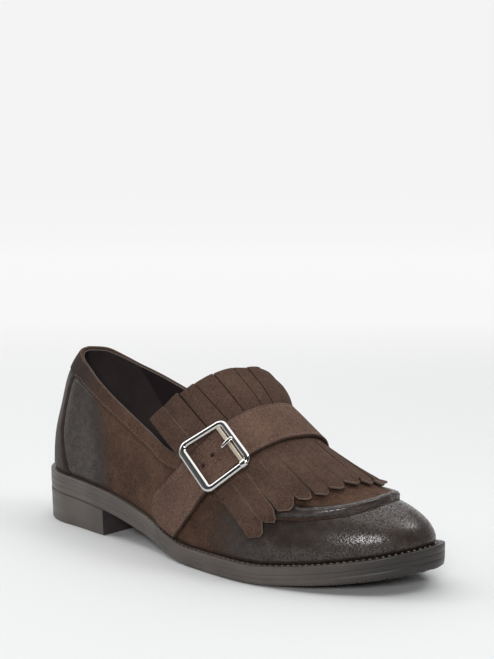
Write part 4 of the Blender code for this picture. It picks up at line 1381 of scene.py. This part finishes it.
@dataclass
class Buckle:
    """Fastened buckle: wire frame, flat bar with its knuckle, and stub prong.

    Corners lie on the middle of the wire: distance up the strap, and distance towards the heel.
    """
    strap: Strap
    corners: tuple[Span, ...] = ((-13.9, -14.0), (12.8, -16.4), (11.9, 12.0), (-14.6, 17.2))
    wire: Span = (3.5, 3.0)
    low_side_width: float = 4.7
    corner_radius: float = 3.6
    rise: float = 1.4
    arc_steps: int = 14
    side_steps: int = 20
    sides: int = 28
    bar_share: float = 0.872
    bar: Span = (2.1, 1.3)
    bar_rise: float = 0.25
    bar_steps: int = 30
    bar_power: float = 4.0
    wire_power: float = 2.1
    knuckle: Span = (4.6, 3.4)
    knuckle_course: tuple[Span, ...] = (
        (-0.5, 0.86), (-0.46, 0.96), (-0.38, 1.0), (0.38, 1.0), (0.46, 0.96), (0.5, 0.86))
    prong: Span = (2.2, 1.25)
    prong_at: float = 0.55
    prong_course: Table = Table("t run rise", (
        (0.0, 3.7, 0.35), (0.2, 2.7, 1.25), (0.45, 0.0, 1.75), (0.75, -2.6, 1.45), (1.0, -4.6, 0.75)))
    prong_steps: int = 40
    prong_power: float = 2.6
    prong_ends: tuple[int, float] = (8, 0.05)
    prong_taper: float = 0.18
    chrome: Metal = Metal("buckle_chrome", (0.60, 0.59, 0.57), 0.07)
    plate: Metal = Metal("buckle_bar", (0.86, 0.77, 0.63), 0.40)

    def path(self) -> tuple[Array, Array]:
        """Closed path of the frame with round corners, and its outward directions in the plane."""
        corners = np.array(self.corners)
        before, after = np.roll(corners, 1, 0) - corners, np.roll(corners, -1, 0) - corners
        before, after = unit(before), unit(after)
        half = np.arccos((before * after).sum(1)) / 2
        middle = corners + unit(before + after) * (self.corner_radius / np.sin(half))[:, None]
        reach = (self.corner_radius / np.tan(half))[:, None]
        start, end = corners + before * reach - middle, corners + after * reach - middle
        turn = np.arctan2(start[:, 0] * end[:, 1] - start[:, 1] * end[:, 0], (start * end).sum(1))
        angle = turn[:, None] * np.linspace(0, 1, self.arc_steps)
        cosine, sine = np.cos(angle)[..., None], np.sin(angle)[..., None]
        quarter = np.stack([-start[:, 1], start[:, 0]], 1)
        arcs = cosine * start[:, None] + sine * quarter[:, None]
        points, away = middle[:, None] + arcs, unit(arcs)
        share = np.linspace(0, 1, self.side_steps + 2)[1:-1][None, :, None]
        following, turned = np.roll(points[:, 0], -1, 0), np.roll(away[:, 0], -1, 0)
        runs = points[:, -1:] * (1 - share) + following[:, None] * share
        facing = unit(away[:, -1:] * (1 - share) + turned[:, None] * share)
        path, outwards = np.concatenate([points, runs], 1), np.concatenate([away, facing], 1)
        return path.reshape(-1, 2), outwards.reshape(-1, 2)

    def low_side(self) -> Array:
        """Share of the low side along the path: 1 between the low corners, fading round both of them."""
        fade, level = np.linspace(0, 1, self.arc_steps), np.ones(self.side_steps)
        middle = np.zeros(2 * (self.arc_steps + self.side_steps) + self.side_steps)
        return np.concatenate([fade[::-1], middle, fade, level])

    def tube(self, path: Array, side: Array, out: Array, size: Array | Span, power: float,
             closed: bool = False) -> Skin:
        """Tube along a path with a section between an ellipse and a box, |x/a|^p + |y/b|^p = 1.

        Path, out and side are square to each other, in the order of X, Y and Z.

        Args:
            path: Points of the middle line.
            side: Directions across the section, or one for all points.
            out: Directions out of the section, or one for all points.
            size: Width and height of the section at each point, or one pair for all points.
            power: Power p of the section.
            closed: Whether the end joins the start.
        Returns:
            Skin of the tube.
        """
        side, out = np.broadcast_to(side, path.shape), np.broadcast_to(out, path.shape)
        size = np.broadcast_to(size, (len(path), 2))
        angle = 2 * np.pi * np.arange(self.sides) / self.sides
        cosine, sine = np.cos(angle), np.sin(angle)
        x = np.sign(cosine) * np.abs(cosine) ** (2 / power)
        y = np.sign(sine) * np.abs(sine) ** (2 / power)
        points = (path[:, None] + side[:, None] * (x[None, :, None] * size[:, None, :1] / 2)
                  + out[:, None] * (y[None, :, None] * size[:, None, 1:] / 2))
        index = np.arange(len(path) * self.sides).reshape(len(path), self.sides)
        rings = np.concatenate([index, index[:1]]) if closed else index
        faces = grid_quads(around(rings))
        if not closed:
            faces = np.concatenate([faces, fan(index[0]), fan(index[-1], flip=True)])
        return Skin(points.reshape(-1, 3), faces, np.zeros(len(faces), int))

    def build(self) -> None:
        """Make the frame, the bar with its knuckle, and the prong."""
        origin, axes = self.strap.frame(self.strap.buckle_at)
        plane, out = axes[:2], axes[2]
        origin = origin + out * self.rise
        flat, away = self.path()
        size = np.tile(self.wire, (len(flat), 1))
        size[:, 0] += (self.low_side_width - self.wire[0]) * self.low_side()
        chrome = self.chrome.build()
        ring = self.tube(origin + flat @ plane, away @ plane, out, size, self.wire_power, closed=True)
        make_piece("buckle_wire", ring, [chrome], Slot.CHROME, ["buckle_frame"])
        low_toe, high_toe, high_heel, low_heel = np.array(self.corners)
        toe_end = low_toe + (high_toe - low_toe) * self.bar_share
        heel_end = low_heel + (high_heel - low_heel) * self.bar_share
        t = np.linspace(0, 1, self.bar_steps)[:, None]
        middle = (toe_end * (1 - t) + heel_end * t) @ plane + origin + out * self.bar_rise
        along = unit((heel_end - toe_end) @ plane)
        bar = self.tube(middle, np.cross(along, out), out, self.bar, self.bar_power)
        make_piece("buckle_bar", bar, [self.plate.build()], Slot.CHROME)
        width, length = self.knuckle
        reach, swell = np.array(self.knuckle_course).T[..., None]
        run = unit((high_toe - low_toe) @ plane)
        place = toe_end @ plane + origin + reach * length * run
        knuckle = self.tube(place, np.cross(run, out), out, np.repeat(swell * width, 2, 1), self.wire_power)
        make_piece("buckle_knuckle", knuckle, [chrome], Slot.CHROME)
        seat = (toe_end + (heel_end - toe_end) * self.prong_at) @ plane + origin
        make_piece("buckle_tongue", self.tongue(seat, axes, along), [chrome], Slot.CHROME, ["buckle_prong"])

    def tongue(self, seat: Array, axes: Array, along: Array) -> Skin:
        """Prong: a tapering tongue that wraps over the bar and dips to the strap at its tip.

        Its width is (1 - (2 t - 1)^8)^(1/2) (1 - taper t) of the prong's.

        Args:
            seat: Point on the bar where the prong wraps over it.
            axes: Directions up the strap, towards the heel, and out.
            along: Direction of the bar.
        Returns:
            Skin of the prong.
        """
        t = np.linspace(0, 1, self.prong_steps)
        across = np.cross(along, axes[2])
        towards = across if across @ axes[0] > 0 else -across
        path = (seat + self.prong_course("run", t)[:, None] * towards
                + self.prong_course("rise", t)[:, None] * axes[2])
        heading = unit(np.gradient(path, axis=0))
        power, least = self.prong_ends
        taper = np.sqrt(np.clip(1 - (2 * t - 1) ** power, least, 1)) * (1 - self.prong_taper * t)
        size = taper[:, None] * np.array(self.prong)
        return self.tube(path, -along, unit(np.cross(-along, heading)), size, self.prong_power)


@dataclass
class Sole:
    """Welt, outsole with its fine tread, heel block and insole."""
    welt_height: float = 4.0
    heel_breast: float = 66.0
    joint: float = 0.04
    # Where painted shade round the toe begins and is full, along X.
    toe_shade_from: Span = (205.0, 258.0)
    stations: int = 340
    heel_stations: int = 120
    heel_crease: float = math.radians(50)
    insole: tuple[float, int, int] = (2.0, 120, 25)
    insole_run: Span = (0.012, 0.988)
    insole_inset: float = 2.6
    insole_rim: tuple[int, float] = (3, 0.12)
    dish: tuple[float, int] = (0.5, 4)
    tread: Span = (1.9, 0.8)
    tread_rings: Span = (0.84, 0.96)
    tread_fade: Span = (128.0, 140.0)
    tread_from: float = 130.0
    tread_samples: int = 4
    stitch_run: Run = (0.43, 1.0, 420)
    stitch_inset: float = 1.2
    seam: StitchLook = StitchLook(3.2, 1.5, 0.36, -0.20)
    rubber: SoleRubber = SoleRubber()
    # Darker rubber on the breast face: painted shade for the face that turns to the arch.
    shaded_breast: SoleRubber = SoleRubber("heel_breast", (0.033, 0.026, 0.027), (0.061, 0.049, 0.049), 0.5)
    sock: SmoothLeather = SmoothLeather(
        "insole_sock", (0.020, 0.015, 0.015), (0.034, 0.026, 0.025), 0.6, 0.0001)
    thread: Thread = Thread("welt_thread", (0.118, 0.095, 0.077), (0.210, 0.173, 0.142))
    welt_edge: tuple[Span, ...] = (
        (0.0, 0.9), (0.012, 0.5), (0.05, 0.2), (0.11, 0.05), (0.2, 0.0), (0.55, 0.0), (0.96, 0.02),
        (0.99, 0.06), (1.0, 0.2))
    outsole_edge: tuple[Span, ...] = (
        (0.0, 0.2), (0.008, 0.06), (0.03, 0.02), (0.36, 0.03), (0.375, 0.13), (0.39, 0.13), (0.405, 0.05),
        (0.6, 0.12), (0.85, 0.3), (0.94, 0.55), (0.98, 0.9), (1.0, 1.4))
    heel_edge: tuple[Span, ...] = (
        (0.0, 0.35), (0.01, 0.2), (0.03, 0.16), (0.35, 0.34), (0.7, 0.55), (0.96, 0.75), (0.99, 1.0),
        (1.0, 1.4))

    def ring(self, u: Array, inset: float, height: Callable[[Array], Array], pointed: bool) -> Array:
        """Outline at one inset: the lateral line from heel to toe, then the medial line back."""
        lines = []
        for side in Side:
            plan = SHAPE.inset_edge(u, side, np.full(u.shape, inset))
            lines.append(np.column_stack([plan, height(plan[:, 0])]))
        return np.concatenate([lines[0], lines[1][1:-1 if pointed else None][::-1]])

    def block(self, u: Array, top: Callable[[Array], Array], bottom: Callable[[Array], Array],
              edge: Sequence[Span], pointed: bool = True, tread: float = 0.0) -> Skin:
        """Layer of the sole: rings stacked from top to bottom, closed by ladders between the two sides.

        A ring's height is top (1 - share) + bottom share. The tread lifts the lowest rings by a saw of X.

        Args:
            u: Stations of the outline.
            top: Height of the upper face by X.
            bottom: Height of the lower face by X.
            edge: Share of the height and inset of each ring.
            pointed: Whether both sides share their last point.
            tread: Depth of the tread.
        Returns:
            Skin of the layer.
        """
        rings = []
        for share, inset in edge:
            level = self.ring(u, inset, lambda x: top(x) * (1 - share) + bottom(x) * share, pointed)
            level[:, 2] += tread * smooth(*self.tread_rings, np.array(share)) * self.saw(level[:, 0])
            rings.append(level)
        size, stations = len(rings[0]), len(u)
        index = np.arange(size * len(rings)).reshape(len(rings), size)
        walls = grid_quads(around(index))
        lateral = np.arange(stations)
        medial = (size - lateral) % size
        if pointed:
            medial[-1] = stations - 1
        ladder = np.stack([lateral[:-1], lateral[1:], medial[1:], medial[:-1]], 1)
        ladder[0, 3] = ladder[0, 2]
        if pointed:
            ladder[-1, 2] = ladder[-1, 3]
        down = np.where(ladder[:, 2:3] == ladder[:, 3:], ladder[:, [2, 1, 0, 0]], ladder[:, ::-1])
        faces = np.concatenate([walls, ladder, down + size * (len(rings) - 1)])
        finish = np.zeros(len(faces), int)
        if not pointed:
            finish[:len(walls)] = np.tile(np.arange(size) == stations - 1, len(rings) - 1)
        points = np.concatenate(rings)
        # The toe tag says where shade is painted round the toe.
        return Skin(points, faces, finish, {"toe": smooth(*self.toe_shade_from, points[:, 0])})

    def saw(self, x: Array) -> Array:
        """Fine tread under the forefoot: rounded teeth along X, none under the waist."""
        pitch, _ = self.tread
        tooth = 0.5 + 0.5 * np.cos(2 * np.pi * x / pitch)
        return tooth * smooth(*self.tread_fade, x)

    def build(self) -> None:
        """Make the layers, the insole and the welt stitches."""
        rubber = self.rubber.build()
        u = np.linspace(0, 1, self.stations)
        pitch, depth = self.tread
        fine_x = np.arange(self.tread_from, SHAPE.length, pitch / self.tread_samples)
        fine = np.unique(np.concatenate([u, SHAPE.station(fine_x)]))
        welt = self.block(u, SHAPE.sole_top, lambda x: SHAPE.sole_top(x) - self.welt_height, self.welt_edge)
        make_piece("welt_layer", welt, [rubber], Slot.SOLE, ["welt"])
        outsole = self.block(fine, lambda x: SHAPE.sole_top(x) - self.welt_height - self.joint,
                             SHAPE.underside, self.outsole_edge, tread=depth)
        make_piece("outsole_layer", outsole, [rubber], Slot.SOLE, ["outsole"])
        u = np.linspace(0, SHAPE.station(self.heel_breast), self.heel_stations)
        block = self.block(u, lambda x: SHAPE.underside(x) - self.joint, np.zeros_like, self.heel_edge,
                           pointed=False)
        heel = make_piece("heel_block", block, [rubber, self.shaded_breast.build()], Slot.SOLE, ["heel"])
        heel.data.set_sharp_from_angle(angle=self.heel_crease)
        self.build_insole()
        make_piece("welt_stitches", joined(self.stitches()), [self.thread.build()], Slot.SOLE)

    def build_insole(self) -> None:
        """Insole: a board with a gently dished sock, inside the foot of the upper."""
        thickness, stations, columns = self.insole
        u = np.linspace(*self.insole_run, stations)
        inset = SHAPE.overhang("width", SHAPE.sole_edge(u, Side.LATERAL)[:, 0]) + self.insole_inset
        edges = [SHAPE.inset_edge(u, side, inset) for side in Side]
        t = np.linspace(0, 1, columns)[None, :, None]
        plan = edges[0][:, None] * (1 - t) + edges[1][:, None] * t
        bottom = SHAPE.sole_top(plan[..., 0]) + CLEARANCE
        depth, power = self.dish
        dish = depth * (1 - (2 * t[..., 0] - 1) ** power)
        top = np.concatenate([plan, (bottom + thickness - dish)[..., None]], -1).reshape(-1, 3)
        base = np.concatenate([plan, bottom[..., None]], -1).reshape(-1, 3)
        index = np.arange(stations * columns).reshape(stations, columns)
        steps, bulge = self.insole_rim
        skin = shell(top, base, grid_quads(index), rim_steps=steps, bulge=bulge)
        make_piece("insole_sock", skin, [self.sock.build()], Slot.LINING, ["insole"])

    def stitches(self) -> Iterator[Skin]:
        """Stitches on the welt's top, along the forefoot."""
        u = np.linspace(*self.stitch_run)
        for side in Side:
            inset = SHAPE.overhang("width", SHAPE.sole_edge(u, side)[:, 0]) - self.stitch_inset
            plan = SHAPE.inset_edge(u, side, inset)
            path = np.column_stack([plan, SHAPE.sole_top(plan[:, 0])])
            yield self.seam.run(path, np.tile([0.0, 0.0, 1.0], (len(u), 1)))


@dataclass
class Studio:
    """Camera at the photograph's angle, pale floor that curves up behind, and soft lights.

    A box of light has a name, a place, a target, a size in metres and a power in watts.
    """
    camera_place: tuple[float, float, float] = (0.53906, -0.58699, 0.22028)
    yaw: float = 0.728021
    pitch: float = 0.125821
    focal_pixels: float = 1500.0
    image_height: float = 659.0
    sensor: float = 36.0
    clip: Span = (0.01, 50.0)
    floor_colour: Colour = (0.70, 0.705, 0.705)
    floor_roughness: float = 0.7
    floor_shine: float = 0.1
    floor_rings: Run = (0.05, 7.0, 64)
    floor_spokes: int = 97
    sweep: Span = (2.2, 0.35)
    glow: float = 0.895
    glow_from: Span = (0.25, 1.1)
    glow_ring: Span = (0.9, 1.9)
    world_colour: Colour = (0.95, 0.97, 1.0)
    world_strength: Span = (0.34, 0.05)
    dim_from: Span = (-0.35, 0.4)
    boxes: tuple[tuple, ...] = (
        ("overhead", (0.0, 0.25, 1.45), (0.0, 0.1, 0.0), (2.4, 2.0), 22.0),
        ("front", (0.87, -1.16, 0.64), (0.1, -0.03, 0.03), (0.40, 0.28), 10.0),
        ("left", (-1.15, -0.32, 0.92), (-0.05, 0.0, 0.05), (1.1, 0.9), 7.0),
        ("right", (0.90, 0.43, 1.24), (0.1, 0.0, 0.03), (0.45, 0.40), 4.0))

    def build(self) -> None:
        """Make camera, floor, lights and world."""
        self.build_camera()
        self.build_floor()
        self.build_lights()

    def stand(self, name: str, data: bpy.types.ID, right: Array, back: Array,
              place: tuple[float, float, float]) -> bpy.types.Object:
        """Put a camera or a light at its place.

        Args:
            name: Name of the object.
            data: Camera or light.
            right: Direction of its right side.
            back: Direction from what it looks at.
            place: Place in metres.
        Returns:
            The object.
        """
        made = bpy.data.objects.new(name, data)
        matrix = np.eye(4)
        matrix[:3] = np.stack([right, np.cross(back, right), back, np.array(place)], 1)
        made.matrix_world = Matrix(matrix.tolist())
        bpy.context.scene.collection.objects.link(made)
        return made

    def build_camera(self) -> None:
        """Camera from its place, turn and focal length in pixels."""
        data = bpy.data.cameras.new("camera")
        data.sensor_width = self.sensor
        data.lens = self.focal_pixels / self.image_height * self.sensor
        data.clip_start, data.clip_end = self.clip
        sine, cosine = math.sin(self.yaw), math.cos(self.yaw)
        level, drop = math.cos(self.pitch), math.sin(self.pitch)
        back = np.array([sine * level, -cosine * level, drop])
        right = np.array([cosine, sine, 0.0])
        bpy.context.scene.camera = self.stand("camera", data, right, back, self.camera_place)

    def build_floor(self) -> None:
        """Floor: a sheet that is level near the shoe and sweeps up far behind it, z = h (t - t0)² beyond t0.

        T is the distance along the view. Past the shoe the sheet glows evenly, as a lit backdrop does.
        """
        radius = np.concatenate([[0.0], np.geomspace(*self.floor_rings)])
        angle = np.linspace(0, 2 * np.pi, self.floor_spokes)
        grid_r, grid_a = np.meshgrid(radius, angle, indexing="ij")
        behind = grid_r * np.cos(grid_a - self.yaw - np.pi / 2)
        start, steepness = self.sweep
        height = steepness * np.clip(behind - start, 0, None) ** 2
        points = np.stack([grid_r * np.cos(grid_a), grid_r * np.sin(grid_a), height], -1).reshape(-1, 3)
        quads = grid_quads(np.arange(grid_r.size).reshape(grid_r.shape))
        mesh = bpy.data.meshes.new("floor")
        mesh.from_pydata(points.tolist(), [], quads.tolist())
        mesh.shade_smooth()
        sketch = NodeSketch("floor")
        forward = (-math.sin(self.yaw), math.cos(self.yaw), 0.0)
        axis = sketch.add("ShaderNodeVectorMath", {0: sketch.coordinates, 1: forward},
                          operation="DOT_PRODUCT").outputs["Value"]
        distance = sketch.add("ShaderNodeVectorMath", {0: sketch.coordinates},
                              operation="LENGTH").outputs["Value"]
        glow = sketch.sum("MAXIMUM", sketch.span(axis, *self.glow_from),
                          sketch.span(distance, *self.glow_ring))
        tone = sketch.mix(glow, self.floor_colour, (0.0, 0.0, 0.0))
        light = sketch.sum("MULTIPLY", glow, self.glow)
        mesh.materials.append(sketch.finish(
            Base_Color=tone, Roughness=self.floor_roughness, Specular_IOR_Level=self.floor_shine,
            Emission_Color=(1.0, 1.0, 1.0), Emission_Strength=light))
        made = bpy.data.objects.new("floor", mesh)
        bpy.context.scene.collection.objects.link(made)

    def build_lights(self) -> None:
        """Large soft boxes, and a pale world that is dim on the camera's side."""
        for name, place, target, size, power in self.boxes:
            data = bpy.data.lights.new(name, "AREA")
            data.shape = "RECTANGLE"
            data.size, data.size_y = size
            data.energy = power
            back = unit(np.array(place) - np.array(target))
            right = unit(np.cross([0.0, 0.0, 1.0], back) + np.array([TINY, 0, 0]))
            self.stand(name, data, right, back, place)
        world = bpy.data.worlds.new("studio")
        world.use_nodes = True
        nodes, links = world.node_tree.nodes, world.node_tree.links
        background = nodes["Background"]
        background.inputs["Color"].default_value = (*self.world_colour, 1.0)
        towards = nodes.new("ShaderNodeVectorMath")
        towards.operation = "DOT_PRODUCT"
        towards.inputs[1].default_value = (math.sin(self.yaw), -math.cos(self.yaw), 0.0)
        strength = nodes.new("ShaderNodeMapRange")
        for number, value in enumerate((*self.dim_from, *self.world_strength), start=1):
            strength.inputs[number].default_value = value
        links.new(nodes.new("ShaderNodeTexCoord").outputs["Generated"], towards.inputs[0])
        links.new(towards.outputs["Value"], strength.inputs[0])
        seen = nodes.new("ShaderNodeMapRange")
        seen.inputs[4].default_value = self.glow
        links.new(nodes.new("ShaderNodeLightPath").outputs["Is Camera Ray"], seen.inputs[0])
        links.new(strength.outputs[0], seen.inputs[3])
        links.new(seen.outputs[0], background.inputs["Strength"])
        bpy.context.scene.world = world


def main() -> None:
    """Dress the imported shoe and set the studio."""
    logging.basicConfig(level=logging.INFO, format="%(name)s: %(message)s")
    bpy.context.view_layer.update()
    bpy.context.scene.view_settings.view_transform = "Standard"
    upper, strap = Upper(), Strap()
    Sole().build()
    upper.build()
    Kiltie(upper).build()
    strap.build()
    Buckle(strap).build()
    Studio().build()


if __name__ == "__main__":
    main()
